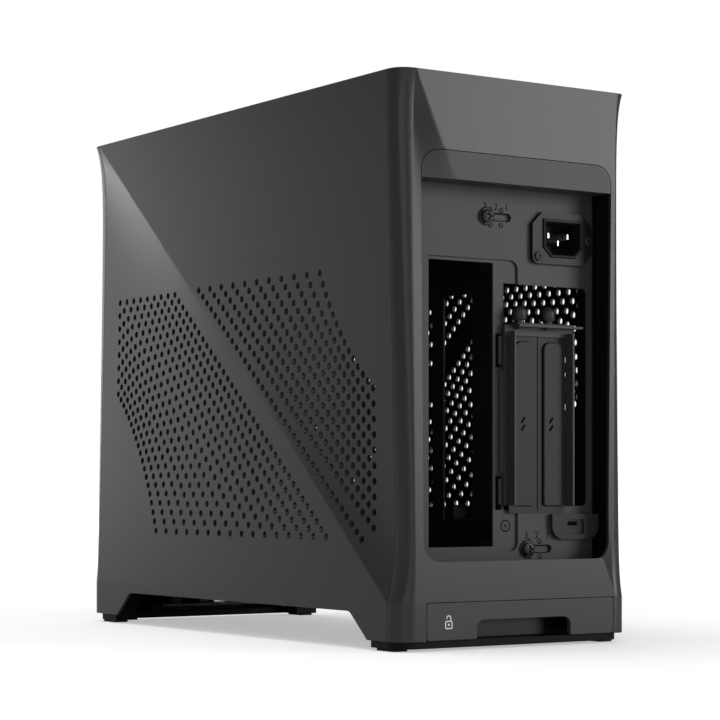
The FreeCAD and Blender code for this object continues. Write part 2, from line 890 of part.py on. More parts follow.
def slot_places():
    """Centre lines of the two slots."""
    return slot_centre + slot_pitch / 2, slot_centre - slot_pitch / 2


def make_slot_cover(x):
    """Slot cover: a strip behind the cage with a raised panel and a tab over the bar."""
    inner = rear_face + cover_gap
    half = cover_width / 2
    low = slot_bottom - cover_sheet
    tab = cage_bar_height + cover_sheet
    tip = cage_face + cage_bar_depth
    outline = [(inner, low), (inner + cover_sheet, low), (inner + cover_sheet, cage_bar_height),
               (tip, cage_bar_height), (tip, tab), (inner, tab)]
    strip = prism(outline, [0, 0, 0, 0, 0, cover_sheet], "yz", x - half, x + half)
    raised_half = pad_face_width / 2
    raised = prism([(x - raised_half, slot_bottom + pad_face_margin),
                    (x + raised_half, slot_bottom + pad_face_margin),
                    (x + raised_half, slot_top - pad_face_margin),
                    (x - raised_half, slot_top - pad_face_margin)],
                   [bend, bend, pad_face_round, pad_face_round], "xz", inner, inner + cover_rise)
    hole = Part.makeCylinder(thumb_shank + spine_gap, 4 * steel,
                             Vector(x + thumb_shift, cage_face + thumb_offset, cage_bar_height - steel))
    return strip.fuse(raised).cut(hole).removeSplitter()


def make_slot_thumbscrews():
    """Two domed thumbscrews down through the covers' tabs into the bar."""
    seat = cage_bar_height + cover_sheet
    head = seat + thumb_neck_height
    tail = cage_bar_height - 2 * steel
    screws = []
    for x, y in thumb_places():
        neck = post(head_sides, thumb_neck, "xy", x, y, seat, head)
        shank = post(shank_sides, thumb_shank, "xy", x, y, tail, seat)
        screws.append(post(head_sides, thumb_radius, "xy", x, y, head,
                           head + thumb_height).fuse([neck, shank]))
    return group(screws)


def make_lock_tab():
    """Tab on the rear plate, rounded below, with a sunk field round a lock slot."""
    half_w = lock_width / 2
    half_h = lock_height / 2
    outer = rear_face + lock_depth
    corners = [(lock_x - half_w, lock_z - half_h), (lock_x + half_w, lock_z - half_h),
               (lock_x + half_w, lock_z + half_h), (lock_x - half_w, lock_z + half_h)]
    tab = prism(corners, [lock_round, lock_round, 0, 0], "xz", rear_face, outer)
    top = lock_z + half_h
    field_top = top - lock_field_drop
    sunk = slab("xz", lock_x - lock_field_width / 2, lock_x + lock_field_width / 2,
                field_top - lock_field_height,
                field_top, outer - lock_recess, outer + 1, bend)
    slot_x = lock_x + lock_slot_shift
    slot_high = top - lock_slot_drop
    slot = slab("xz", slot_x - lock_slot_width / 2, slot_x + lock_slot_width / 2,
                slot_high - lock_slot_height,
                slot_high, rear_face - 1, outer + 1)
    return tab.cut([sunk, slot])


def make_inlet_housing():
    """Mains inlet: a flange with cut corners and one screw ear, and a socket body behind the plate."""
    half_w = inlet_width / 2
    half_h = inlet_height / 2
    cut = inlet_corner
    outline = [(-half_w + cut, -half_h), (half_w, -half_h), (half_w, half_h - cut), (half_w - cut, half_h),
               (-half_w + cut, half_h), (-half_w, half_h - cut), (-half_w, -half_h + cut)]
    placed = [(inlet_x + a, inlet_z + b) for a, b in outline]
    radii = [0, screw_head_radius, 0, 0, 0, 0, 0]
    flange = prism(placed, radii, "xz", rear_face, rear_face + inlet_flange)
    body = slab("xz", inlet_x - inlet_body_width / 2, inlet_x + inlet_body_width / 2,
                inlet_z - inlet_body_height / 2,
                inlet_z + inlet_body_height / 2, rear_face - inlet_body_depth, rear_face, bend)
    half_sw = socket_width / 2
    half_sh = socket_height / 2
    mouth = [(inlet_x - half_sw + socket_corner, inlet_z - half_sh),
             (inlet_x + half_sw - socket_corner, inlet_z - half_sh),
             (inlet_x + half_sw, inlet_z - half_sh + socket_corner), (inlet_x + half_sw, inlet_z + half_sh),
             (inlet_x - half_sw, inlet_z + half_sh), (inlet_x - half_sw, inlet_z - half_sh + socket_corner)]
    socket = prism(mouth, [0] * 6, "xz", rear_face + inlet_flange - socket_depth,
                   rear_face + inlet_flange + 1)
    return flange.fuse(body).cut(socket).removeSplitter()


def make_inlet_pins():
    """Three upright contact blades in the socket."""
    floor = rear_face + inlet_flange - socket_depth
    tip = rear_face + inlet_flange - pin_rise
    places = ((-pin_spread, pin_rise), (pin_spread, pin_rise), (0, -pin_rise))
    return group([slab("xz", inlet_x + dx - pin_width / 2, inlet_x + dx + pin_width / 2,
                       inlet_z + dz - pin_height / 2,
                       inlet_z + dz + pin_height / 2, floor, tip) for dx, dz in places])


def make_inlet_screws():
    """Two screws that hold the inlet's flange."""
    seat = rear_face + inlet_flange
    places = ((inlet_screw_x, -inlet_screw_z), (-inlet_screw_side, 0))
    return group([post(head_sides, inlet_screw_radius, "xz", inlet_x + dx, inlet_z + dz, seat,
                       seat + inlet_screw_height)
                  for dx, dz in places])


def make_drawer_face():
    """Drawer front in the skirt's plane with a finger notch and a shelf that carries the filter frame."""
    left = half_width - drawer_margin_round
    right = -(half_width - drawer_margin_tight)
    low = shell_bottom + drawer_gap
    high = skirt_top - drawer_gap
    inner = half_length - drawer_plate
    plate = slab("xz", right, left, low, high, inner, half_length, bend)
    notch = slab("xz", notch_centre - notch_width / 2, notch_centre + notch_width / 2, 0, notch_height,
                 inner - 1,
                 half_length + 1, notch_radius)
    shelf_top = high - drawer_gap
    shelf = slab("xy", -rail_inner + drawer_gap, rail_inner - drawer_gap, inner - drawer_shelf, inner,
                 shelf_top - drawer_plate, shelf_top)
    apron_half = rail_inner - runner_step - drawer_gap
    apron = slab("xz", -apron_half, apron_half, low, shelf_top, inner - drawer_shelf,
                 inner - drawer_shelf + drawer_plate)
    return plate.cut(notch).fuse([shelf, apron]).removeSplitter()


def filter_low():
    """Underside of the filter frame on its runners."""
    return foot_cut_top + runner_height + drawer_gap


def make_filter_frame():
    """Filter frame with two cross ribs, joined to the drawer's apron."""
    half = rail_inner - drawer_gap
    rear = half_length - drawer_plate - drawer_shelf
    low = filter_low()
    frame = slab("xy", -half, half, -filter_front, rear, low, low + filter_height, 2 * bend)
    ribs = (filter_bays - 1) * filter_rib
    span = (rear + filter_front - 2 * filter_rim - ribs) / filter_bays
    bays = []
    for index in range(filter_bays):
        start = -filter_front + filter_rim + index * (span + filter_rib)
        bays.append(slab("xy", -half + filter_rim, half - filter_rim, start, start + span, low - 1,
                         low + filter_height + 1))
    return frame.cut(bays)


def make_filter_mesh():
    """Mesh sheet on top of the filter frame."""
    half = rail_inner - drawer_gap - filter_rim / 2
    rear = half_length - drawer_plate - drawer_shelf - filter_rim / 2
    low = filter_low() + filter_height
    return slab("xy", -half, half, -filter_front + filter_rim / 2, rear, low, low + filter_sheet)


def front_inside():
    """Inner plane of the front skirt, less the gap that ports keep to it."""
    return -half_length + shell_sheet + port_gap


def make_io_board():
    """Port board on two bosses of the base frame."""
    front = front_inside() + port_gap
    board = slab("xy", board_left, board_right, front, front + board_depth, board_height,
                 board_height + board_thick)
    reach = button_collar + bend
    notch = slab("xy", button_x - reach, button_x + reach, -half_length, switch_tip() - port_gap, 0, button_z)
    return board.cut(notch)


def port_shell(x, width, height, depth):
    """A sheet-metal port: a tube with a closed back."""
    base = board_height + board_thick
    front = front_inside()
    body = slab("xz", x - width / 2, x + width / 2, base, base + height, front, front + depth)
    mouth = slab("xz", x - width / 2 + port_wall, x + width / 2 - port_wall, base + port_wall,
                 base + height - port_wall,
                 front - 1, front + depth - 2 * port_wall)
    return body.cut(mouth)


def make_audio_jack():
    """Round socket in a small block."""
    base = board_height + board_thick
    front = front_inside()
    body = slab("xz", jack_x - jack_width / 2, jack_x + jack_width / 2, base, base + jack_height, front,
                front + jack_depth)
    bore = Part.makeCylinder(jack_radius, jack_depth - port_wall,
                             Vector(jack_x, front, base + jack_height / 2),
                             Vector(0, 1, 0))
    return body.cut(bore)


def switch_tip():
    """Where the switch stands: just past the button's stem at full travel."""
    return front_inside() + button_collar_thick + button_stem_length + button_travel + port_gap


def make_power_switch():
    """Switch block behind the power button's stem."""
    tip = switch_tip()
    base = board_height + board_thick
    return slab("xz", button_x - switch_size / 2, button_x + switch_size / 2, base,
                button_z + switch_size / 2, tip,
                tip + switch_depth)


def make_power_button():
    """Round push button held behind the front sheet by its collar."""
    collar = front_inside()
    stem = collar + button_collar_thick
    cap = post(button_sides, button_radius, "xz", button_x, button_z, -half_length, collar)
    rim = post(button_sides, button_collar, "xz", button_x, button_z, collar, stem)
    shaft = post(head_sides, button_stem, "xz", button_x, button_z, stem, stem + button_stem_length)
    return cap.fuse([rim, shaft])


def build():
    """Every piece of the case by name."""
    side_panel = make_side_panel()
    end_panel = make_end_panel()
    slot_left, slot_right = slot_places()
    return {
        "right_side_panel": side_panel,
        "left_side_panel": half_turn(side_panel),
        "rear_panel": make_rear_panel(end_panel),
        "front_panel": make_front_panel(end_panel),
        "rear_lip": make_rear_lip(),
        "top_panel": make_top_panel(),
        "base_frame": make_base_frame(),
        "rubber_feet": make_rubber_feet(),
        "floor_plate": make_floor_plate(),
        "rear_frame": make_rear_frame(),
        "front_frame": make_front_frame(),
        "top_bracket": make_top_bracket(),
        "psu_bracket": make_psu_bracket(),
        "spine_tray": make_spine_tray(),
        "board_standoffs": make_board_standoffs(),
        "adjusting_screws": make_adjusting_screws(),
        "adjusting_washers": make_adjusting_washers(),
        "riser_bracket": make_riser_bracket(),
        "riser_slot": make_riser_slot(),
        "slot_cage": make_slot_cage(),
        "slot_cover_left": make_slot_cover(slot_left),
        "slot_cover_right": make_slot_cover(slot_right),
        "slot_thumbscrews": make_slot_thumbscrews(),
        "lock_tab": make_lock_tab(),
        "inlet_housing": make_inlet_housing(),
        "inlet_pins": make_inlet_pins(),
        "inlet_screws": make_inlet_screws(),
        "drawer_face": make_drawer_face(),
        "filter_frame": make_filter_frame(),
        "filter_mesh": make_filter_mesh(),
        "io_board": make_io_board(),
        "usb_a_ports": group([port_shell(x, usb_a_width, usb_a_height, usb_a_depth) for x in usb_a_x]),
        "usb_c_port": port_shell(usb_c_x, usb_c_width, usb_c_height, usb_c_depth),
        "audio_jack": make_audio_jack(),
        "power_switch": make_power_switch(),
        "power_button": make_power_button(),
    }


def main():
    """Write every piece to its own file."""
    os.makedirs("parts", exist_ok=True)
    for name, shape in build().items():
        shape.exportStep("parts/" + name + ".step")


main()
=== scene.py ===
"""Looks of the mini-tower computer case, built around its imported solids."""
import json
import math

import bpy
import numpy as np
from bpy.props import FloatProperty, FloatVectorProperty, IntProperty, PointerProperty
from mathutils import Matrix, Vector
from mathutils.geometry import delaunay_2d_cdt


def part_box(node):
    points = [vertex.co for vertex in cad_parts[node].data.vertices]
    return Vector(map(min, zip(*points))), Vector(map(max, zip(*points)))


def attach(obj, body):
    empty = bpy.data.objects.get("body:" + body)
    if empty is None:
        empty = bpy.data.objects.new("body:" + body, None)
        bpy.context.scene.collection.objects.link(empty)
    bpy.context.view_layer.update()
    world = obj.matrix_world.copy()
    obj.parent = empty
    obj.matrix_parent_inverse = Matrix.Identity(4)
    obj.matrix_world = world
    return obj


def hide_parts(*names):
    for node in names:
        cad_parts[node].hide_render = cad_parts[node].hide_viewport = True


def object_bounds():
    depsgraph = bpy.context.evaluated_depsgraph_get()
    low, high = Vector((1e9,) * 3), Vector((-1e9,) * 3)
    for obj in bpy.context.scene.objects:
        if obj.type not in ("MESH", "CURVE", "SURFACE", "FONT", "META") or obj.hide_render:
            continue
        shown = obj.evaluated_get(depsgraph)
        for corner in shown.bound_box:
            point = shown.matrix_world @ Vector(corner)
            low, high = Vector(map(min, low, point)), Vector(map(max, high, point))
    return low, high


bl_info = {
    "name": "Mini-tower case",
    "version": (1, 0, 0),
    "blender": (4, 5, 0),
    "location": "View3D > Sidebar > Case",
    "description": "Ridged, perforated computer case built around its packed solids",
    "category": "Object",
}

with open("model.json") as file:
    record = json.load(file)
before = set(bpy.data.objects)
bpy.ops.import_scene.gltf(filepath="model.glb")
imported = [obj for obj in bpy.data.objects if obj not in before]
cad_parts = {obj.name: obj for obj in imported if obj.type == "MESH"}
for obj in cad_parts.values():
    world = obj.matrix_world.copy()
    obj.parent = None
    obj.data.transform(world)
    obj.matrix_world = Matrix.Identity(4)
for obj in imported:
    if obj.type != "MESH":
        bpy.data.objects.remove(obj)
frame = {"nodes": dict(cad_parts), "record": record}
case_low, case_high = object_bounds()
half_width = case_high.x
half_length = case_high.y
case_top = case_high.z
# How far a fold stops short of a border
line_inset = 0.0004
# Length of a corner's curve as a multiple of its reach
corner_run = 1.62
no_points = np.zeros((0, 2))
# Middle of a noise texture's values
noise_mean = 0.5


def length(label, note, value):
    """A size in metres that a user may change."""
    return FloatProperty(name=label, description=note, default=value, unit="LENGTH", precision=5)


def number(label, note, value):
    """A plain number that a user may change."""
    return FloatProperty(name=label, description=note, default=value)


def colour(label, note, value):
    """A linear colour that a user may change."""
    return FloatVectorProperty(name=label, description=note, default=value, size=3, subtype="COLOR",
                               min=0, max=1)


class ShellSizes(bpy.types.PropertyGroup):
    """Sizes of the sheet-metal shell."""
    sheet: length("Sheet", "Thickness of the shell's sheet", 0.002)
    bottom: length("Bottom", "Height of the sheet's lower edge", 0.0055)
    skirt: length("Skirt", "Height where the straight skirt ends", 0.0265)
    round_corner: length("Round corner", "Reach of the wide upright corner", 0.0115)
    tight_corner: length("Tight corner", "Reach of the narrow upright corner", 0.009)
    seam: length("Seam", "Gap between neighbouring sheets", 0.0003)
    side_hollow: length("Side hollow", "How far the long sides fall in behind their rim", 0.007)
    side_flare: length("Side flare", "Height over which the long sides fall in", 0.016)
    side_spread: number("Side spread", "How much the long sides' flare grows inwards", 4)
    end_hollow: length("End hollow", "How far the short sides fall in behind their rim", 0.0037)
    end_flare: length("End flare", "Height over which the short sides fall in", 0.011)
    end_spread: number("End spread", "How much the short sides' flare grows inwards", 20)
    hole: length("Hole radius", "Radius of one hole of the perforation", 0.00205)
    hole_steps: IntProperty(name="Hole steps", description="Straight steps round one hole",
                            default=14, min=8, max=32)
    grid: length("Grid", "Spacing of the sheet's points along its straight lines", 0.0026)


class HardwareSizes(bpy.types.PropertyGroup):
    """Sizes of screws and marks."""
    thumb: length("Thumbscrew", "Radius of a domed thumbscrew", 0.00435)
    head: length("Screw head", "Radius of an adjusting screw's head", 0.0039)
    washer: length("Washer", "Radius of a toothed washer", 0.0052)
    inlet_head: length("Inlet screw", "Radius of an inlet screw's head", 0.0027)
    dimple: length("Dimple", "Radius of a pressed dimple", 0.0011)
    digit: length("Digit", "Height of a position number", 0.0039)
    stroke: length("Stroke", "Width of the padlock sign's line", 0.00065)


class FinishColours(bpy.types.PropertyGroup):
    """Colours of the finishes."""
    shell: colour("Shell", "Satin coat of the outer sheets", (0.042, 0.042, 0.0435))
    # Inside: painted shade, a near-black colour on the sheets' inner faces for the shade inside the case
    inside: colour("Inside", "Coat on the sheets' inner faces", (0.006, 0.006, 0.006))
    chassis: colour("Chassis", "Satin coat of the inner steel", (0.045, 0.045, 0.0465))
    lip: colour("Lip", "Coat of the infill over the rear opening", (0.04, 0.04, 0.0415))
    cover: colour("Covers", "Coat of the slot covers and the lock's tab", (0.031, 0.031, 0.032))
    # Inner steel: painted shade, a darker colour for the steel inside the case that stands for the shade
    # there
    inner_steel: colour("Inner steel", "Coat of the steel inside the case", (0.014, 0.014, 0.0145))
    moulding: colour("Moulding", "Matte black moulded parts", (0.005, 0.005, 0.005))
    gloss: colour("Inlet", "Smooth black moulded parts", (0.008, 0.008, 0.0085))
    rubber: colour("Rubber", "Foot pads", (0.015, 0.015, 0.015))
    steel: colour("Dark steel", "Blackened screws", (0.03, 0.03, 0.031))
    bright: colour("Bright metal", "Plated pins and port shells", (0.75, 0.74, 0.72))
    board: colour("Board", "Circuit board", (0.012, 0.02, 0.016))
    mesh: colour("Filter", "Dust mesh", (0.02, 0.02, 0.02))
    # Dark print: the position numbers, and also painted shade lines round the dimples, slots, pads, the
    # covers' seam and the rivet
    dark_print: colour("Dark print", "Position numbers", (0.003, 0.003, 0.003))
    light_print: colour("Light print", "Padlock sign", (0.8, 0.8, 0.8))


class StageSettings(bpy.types.PropertyGroup):
    """Camera and studio light."""
    lens: FloatProperty(name="Lens", description="Focal length in millimetres",
                        default=112.7716, min=10, max=400)
    rise: number("Rise", "Vertical shift of the level camera", 0.17467)
    yaw: FloatProperty(name="Yaw", description="Turn of the camera round the upright axis",
                       default=math.radians(145.987), subtype="ANGLE")
    place: FloatVectorProperty(name="Place", description="Camera position",
                               default=(0.770759, 1.163905, 0.089583),
                               subtype="XYZ", unit="LENGTH", precision=5)
    daylight: number("Daylight", "Strength of the even light from all round", 0.22)
    mirrored: number("Mirrored", "Strength of the background in reflections", 0.24)
    floor: length("Floor", "Half the length of the floor", 12.0)


def hollow(run, deep, flare, span):
    """Depth of an upright edge: deep * (1 - run / span) * (1 - exp(-run / flare))."""
    run = np.clip(run, 0, span)
    return deep * (1 - run / span) * (1 - np.exp(-run / flare))


def facet_depth(a, b, deep, flare, spread, span):
    """Depth of a face whose ridge runs from (0, 1) to (1, 0).

    Each half is a plane that falls away from its own straight edge, and the two planes cross in the middle
    of the ridge. Towards an end of the ridge the deeper half rises to the other one over the flare, by
    deep * rest * (1 - step / lead * exp(-reach / flare)), where the step is the planes' own difference,
    eased where it changes sides. The flare grows away from the corner by 1 + spread * (1 - lead).
    """
    ease = 0.3
    upper = a + b > 1
    lead = np.maximum(np.where(upper, a, 1 - a), 1e-9)
    rest = np.clip(np.where(upper, 1 - b, b), 0, lead)
    tilt = np.where(upper, 2 * a - 1, 1 - 2 * a)
    step = (tilt + np.sqrt(tilt ** 2 + (ease * (1 - tilt ** 2)) ** 2)) / 2
    reach = (lead - rest) * span
    wide = flare * (1 + spread * (1 - lead))
    return deep * rest * (1 - np.clip(step / lead, 0, 1) * np.exp(-reach / wide))


class Shell:
    """The shell's outer surfaces as functions of two parameters and an inset."""

    def __init__(self, size):
        self.size = size
        self.span = case_top - size.skirt
        self.front = size.tight_corner - half_length
        self.rear = half_length - size.round_corner
        self.left = half_width - size.round_corner
        self.right = size.tight_corner - half_width
        self.face_run = self.left - self.right
        self.round_run = corner_run * size.round_corner
        self.tight_run = corner_run * size.tight_corner

    def rise(self, v):
        """Height over the skirt as a share of the span."""
        return np.clip((v - self.size.skirt) / self.span, 0, 1)

    def side(self, u, v, inset):
        """Long side: u is y, v is z, and x is half the width less the facet's depth."""
        a = np.clip((u - self.front) / (self.rear - self.front), 0, 1)
        depth = facet_depth(a, self.rise(v), self.size.side_hollow, self.size.side_flare,
                            self.size.side_spread, self.span)
        return np.stack([half_width - depth - inset, u, v], -1)

    def end(self, u, v, inset):
        """Short side: u runs round the wide corner, across the face and round the narrow corner.

        Each corner's plan is a parabola between the walls' own directions, and the face is facet_depth.
        """
        size = self.size
        low = v - size.skirt
        high = np.minimum(case_top - v, self.span)
        near_x = half_width - hollow(low, size.side_hollow, size.side_flare, self.span) - inset
        near_y = half_length - hollow(high, size.end_hollow, size.end_flare, self.span) - inset
        far_x = hollow(high, size.side_hollow, size.side_flare, self.span) - half_width + inset
        far_y = half_length - hollow(low, size.end_hollow, size.end_flare, self.span) - inset
        t = np.clip(1 + u / self.round_run, 0, 1)
        s = np.clip((u - self.face_run) / self.tight_run, 0, 1)
        a = np.clip(u / self.face_run, 0, 1)
        depth = facet_depth(a, self.rise(v), size.end_hollow, size.end_flare, size.end_spread, self.span)
        rear = np.full_like(u, self.rear)
        left = np.full_like(u, self.left)
        right = np.full_like(u, self.right)
        tight_end = np.full_like(u, half_length - size.tight_corner)
        x = np.where(u < 0, parabola(near_x, near_x, left, t), self.left - u)
        y = np.where(u < 0, parabola(rear, near_y, near_y, t), half_length - depth - inset)
        beyond = u > self.face_run
        x = np.where(beyond, parabola(right, far_x, far_x, s), x)
        y = np.where(beyond, parabola(far_y, far_y, tight_end, s), y)
        return np.stack([x, y, v], -1)

    def ridge_line(self, first, last, step):
        """The ridge of a face as an open line from its upper to its lower corner."""
        return open_line([(first + line_inset, case_top - line_inset),
                          (last - line_inset, self.size.skirt + line_inset)], step)


def parabola(first, turn, last, t):
    """Quadratic curve through first and last that leaves both towards turn."""
    return first * (1 - t) ** 2 + 2 * turn * t * (1 - t) + last * t ** 2


def facing(surface, u, v, inset):
    """Unit normals of a surface: the cross product of its two slopes, taken over tiny steps."""
    step = 2e-6
    along = surface(u + step, v, inset) - surface(u - step, v, inset)
    up = surface(u, v + step, inset) - surface(u, v - step, inset)
    normal = np.cross(along, up)
    return normal / np.linalg.norm(normal, axis=-1, keepdims=True)


def stepped(points, step, closed=True):
    """A polyline with each straight run divided into equal steps no longer than step."""
    points = np.asarray(points, float)
    ends = np.roll(points, -1, 0) if closed else points[1:]
    runs = []
    for p, q in zip(points, ends):
        count = max(1, math.ceil(np.linalg.norm(q - p) / step - 1e-6))
        runs.append(p + (q - p) * (np.arange(count) / count)[:, None])
    if not closed:
        runs.append(points[-1:])
    return np.concatenate(runs)


def open_line(points, step):
    """A polyline divided into steps that doesn't close."""
    return stepped(points, step, False)


def rounded(points, radii, steps=6):
    """A closed outline whose corners are circular arcs, each tangent to both its sides."""
    points = np.asarray(points, float)
    loops = []
    for index, radius in enumerate(radii):
        corner = points[index]
        before = points[index - 1] - corner
        after = points[(index + 1) % len(points)] - corner
        before = before / np.linalg.norm(before)
        after = after / np.linalg.norm(after)
        if radius <= 0:
            loops.append(corner[None])
            continue
        half = math.acos(np.clip(before @ after, -1, 1)) / 2
        middle = (before + after) / np.linalg.norm(before + after)
        centre = corner + middle * radius / math.sin(half)
        swing = math.pi / 2 - half
        turn = np.linspace(-swing, swing, steps + 1)[:, None]
        side = np.array([-middle[1], middle[0]])
        if side @ before > 0:
            side = -side
        loops.append(centre - middle * radius * np.cos(turn) + side * radius * np.sin(turn))
    return np.concatenate(loops)


def circle(a, b, radius, steps):
    """Points round a circle: centre plus radius times cosine and sine."""
    turn = np.arange(steps) / steps * 2 * math.pi
    return np.stack([a + radius * np.cos(turn), b + radius * np.sin(turn)], -1)


def within(loop, points):
    """Which points lie inside a closed outline, by counting crossings of a level ray."""
    p, q = loop, np.roll(loop, -1, 0)
    x, y = points[:, :1], points[:, 1:]
    spans = (p[:, 1] > y) != (q[:, 1] > y)
    slope = (q[:, 0] - p[:, 0]) / np.where(q[:, 1] == p[:, 1], 1, q[:, 1] - p[:, 1])
    return (spans & (x < p[:, 0] + slope * (y - p[:, 1]))).sum(1) % 2 == 1


def cut_sheet(outline, cuts, holes, lines, points=no_points):
    """Triangles over an outline less its cut-outs and round holes, with lines kept as edges.

    A triangle is left out where all its corners lie on one hole or its middle lies outside.
    """
    merge = 1e-8
    least_area = 1e-13
    spots = [outline] + cuts + holes + lines
    closed = len(spots) - len(lines)
    edges = []
    owner = []
    start = 0
    for index, spot in enumerate(spots):
        order = np.arange(start, start + len(spot))
        edges.append(np.stack([order, np.roll(order, -1)], 1)[:len(spot) if index < closed else -1])
        owner.append(np.full(len(spot), index if 1 + len(cuts) <= index < closed else -1))
        start += len(spot)
    owner.append(np.full(len(points), -1))
    owner = np.concatenate(owner)
    spread = np.concatenate(spots + [points])
    found = delaunay_2d_cdt([Vector(p) for p in spread], np.concatenate(edges).tolist(), [], 0, merge)
    flat = np.array([tuple(p) for p in found[0]])
    triangles = np.array([f for f in found[2] if len(f) == 3])
    ids = np.array([owner[o[0]] if len(o) else -1 for o in found[3]])
    held = ids[triangles]
    keep = ~((held[:, 0] >= 0) & (held[:, 0] == held[:, 1]) & (held[:, 1] == held[:, 2]))
    centre = flat[triangles].mean(1)
    keep &= within(outline, centre)
    for cut in cuts:
        keep &= ~within(cut, centre)
    triangles = triangles[keep]
    p, q, r = (flat[triangles[:, k]] for k in range(3))
    area = (q[:, 0] - p[:, 0]) * (r[:, 1] - p[:, 1]) - (q[:, 1] - p[:, 1]) * (r[:, 0] - p[:, 0])
    triangles = np.where((area < 0)[:, None], triangles[:, ::-1], triangles)[np.abs(area) > least_area]
    used, packed = np.unique(triangles, return_inverse=True)
    return flat[used], packed.reshape(triangles.shape)


def put_mesh(name, points, faces, normals=None, smooth=True):
    """A mesh object at the origin from points and faces, with its own corner normals where given."""
    mesh = bpy.data.meshes.new(name)
    mesh.from_pydata(points.tolist(), [], faces)
    mesh.polygons.foreach_set("use_smooth", np.full(len(mesh.polygons), smooth))
    if normals is not None:
        mesh.normals_split_custom_set(normals.tolist())
    mesh.update()
    piece = bpy.data.objects.new(name, mesh)
    bpy.context.scene.collection.objects.link(piece)
    return piece


def sheet_piece(name, node, surface, flat, triangles, depth, turn=1, coat="Satin charcoal", lap=0.0):
    """A closed sheet: the surface, the same surface set in by a depth, and a wall along every border.

    turn is -1 for a half turn round the upright axis, which changes the signs of x and y. The inner face
    reaches a lap further at both ends, u + lap (2 u - low - high) / (high - low), so a seam shows no light.
    """
    pull = 0.02
    u, v = flat[:, 0], flat[:, 1]
    flip = np.array([turn, turn, 1])
    outer = surface(u, v, 0.0) * flip
    low, high = u.min(), u.max()
    inner = surface(u + lap * (2 * u - low - high) / (high - low), v, depth) * flip
    count = len(flat)
    corners = flat[triangles]
    pulled = corners + pull * (corners.mean(1, keepdims=True) - corners)
    normal = facing(surface, pulled[..., 0], pulled[..., 1], 0.0) * flip
    edge = np.concatenate([triangles[:, [0, 1]], triangles[:, [1, 2]], triangles[:, [2, 0]]])
    key = np.sort(edge, 1)
    _, first, times = np.unique(key, axis=0, return_index=True, return_counts=True)
    rim = edge[first[times == 1]]
    walls = np.stack([rim[:, 1], rim[:, 0], rim[:, 0] + count, rim[:, 1] + count], 1)
    points = np.concatenate([outer, inner])
    side = np.cross(points[walls[:, 1]] - points[walls[:, 0]], points[walls[:, 3]] - points[walls[:, 0]])
    side = side / np.maximum(np.linalg.norm(side, axis=1, keepdims=True), 1e-12)
    faces = triangles.tolist() + (triangles[:, ::-1] + count).tolist() + walls.tolist()
    normals = np.concatenate([normal.reshape(-1, 3), -normal[:, ::-1].reshape(-1, 3),
                              np.repeat(side, 4, 0)])
    piece = put_mesh(name, points, faces, normals)
    # The inner faces get the painted shade material, dark for the shade inside the case
    inside = np.zeros(len(faces), int)
    inside[len(triangles):2 * len(triangles)] = 1
    piece.data.materials.append(bpy.data.materials[coat])
    piece.data.materials.append(bpy.data.materials["Inner coat"])
    piece.data.polygons.foreach_set("material_index", inside)
    assign(piece, "shell", "shell_coat", node)


def grid_faces(rows, columns, wrap, loop=False):
    """Quads of a grid of points, row by row, closed round columns by wrap and round rows by loop."""
    r, c = np.meshgrid(np.arange(rows if loop else rows - 1), np.arange(columns if wrap else columns - 1),
                       indexing="ij")
    d = (c + 1) % columns
    here, above = r * columns, (r + 1) % rows * columns
    return np.stack([here + c, here + d, above + d, above + c], -1).reshape(-1, 4)


def turned(profile, columns, relief=None):
    """A turned form: radius and height of a profile carried round an axis, both ends closed at poles.

    Where relief is given, it is taken off the height as a function of the plan coordinates.
    """
    profile = np.asarray(profile, float)
    turn = np.arange(columns) / columns * 2 * math.pi
    a = profile[:, :1] * np.cos(turn)
    b = profile[:, :1] * np.sin(turn)
    h = np.repeat(profile[:, 1:], columns, 1)
    if relief is not None:
        h = h - relief(a, b) * (np.arange(len(profile)) >= len(profile) // 2)[:, None]
    ring = np.stack([a, b, h], -1).reshape(-1, 3)
    top = h[-1, 0] if relief is None else profile[-1, 1] - relief(np.zeros(1), np.zeros(1))[0]
    points = np.concatenate([ring, [[0, 0, profile[0, 1]], [0, 0, top]]])
    quads = grid_faces(len(profile), columns, True)
    c = np.arange(columns)
    d = (c + 1) % columns
    last = (len(profile) - 1) * columns
    under = np.stack([np.full(columns, len(ring)), d, c], 1)
    over = np.stack([np.full(columns, len(ring) + 1), last + c, last + d], 1)
    return points, quads.tolist() + under.tolist() + over.tolist()


def placed(form, x, y, z):
    """A form made along its own upright axis, set at a place so that this axis points to the rear."""
    points, faces = form
    return np.stack([x - points[:, 0], y + points[:, 2], z + points[:, 1]], 1), faces


def joined(forms):
    """Several forms as one list of points and faces."""
    points = []
    faces = []
    start = 0
    for form_points, form_faces in forms:
        points.append(form_points)
        faces += [[k + start for k in face] for face in form_faces]
        start += len(form_points)
    return np.concatenate(points), faces


def rearward_text(words, height, x, y, z):
    """Flat characters centred on x and z of a plane that faces the rear, with doubled points merged."""
    merge = 1e-7
    capital_share = 0.7
    curve = bpy.data.curves.new("mark", "FONT")
    curve.body = words
    curve.size = height / capital_share
    curve.align_x = "CENTER"
    curve.extrude = 0.00005
    holder = bpy.data.objects.new("mark", curve)
    mesh = bpy.data.meshes.new_from_object(holder)
    points = np.zeros(len(mesh.vertices) * 3)
    mesh.vertices.foreach_get("co", points)
    points = points.reshape(-1, 3)
    spots = np.round(points / merge)
    _, first, shared = np.unique(spots, axis=0, return_index=True, return_inverse=True)
    faces = [shared.ravel()[list(face.vertices)].tolist() for face in mesh.polygons]
    points = points[first]
    bpy.data.objects.remove(holder)
    bpy.data.curves.remove(curve)
    bpy.data.meshes.remove(mesh)
    return placed((points, faces), x, y, z - height / 2)


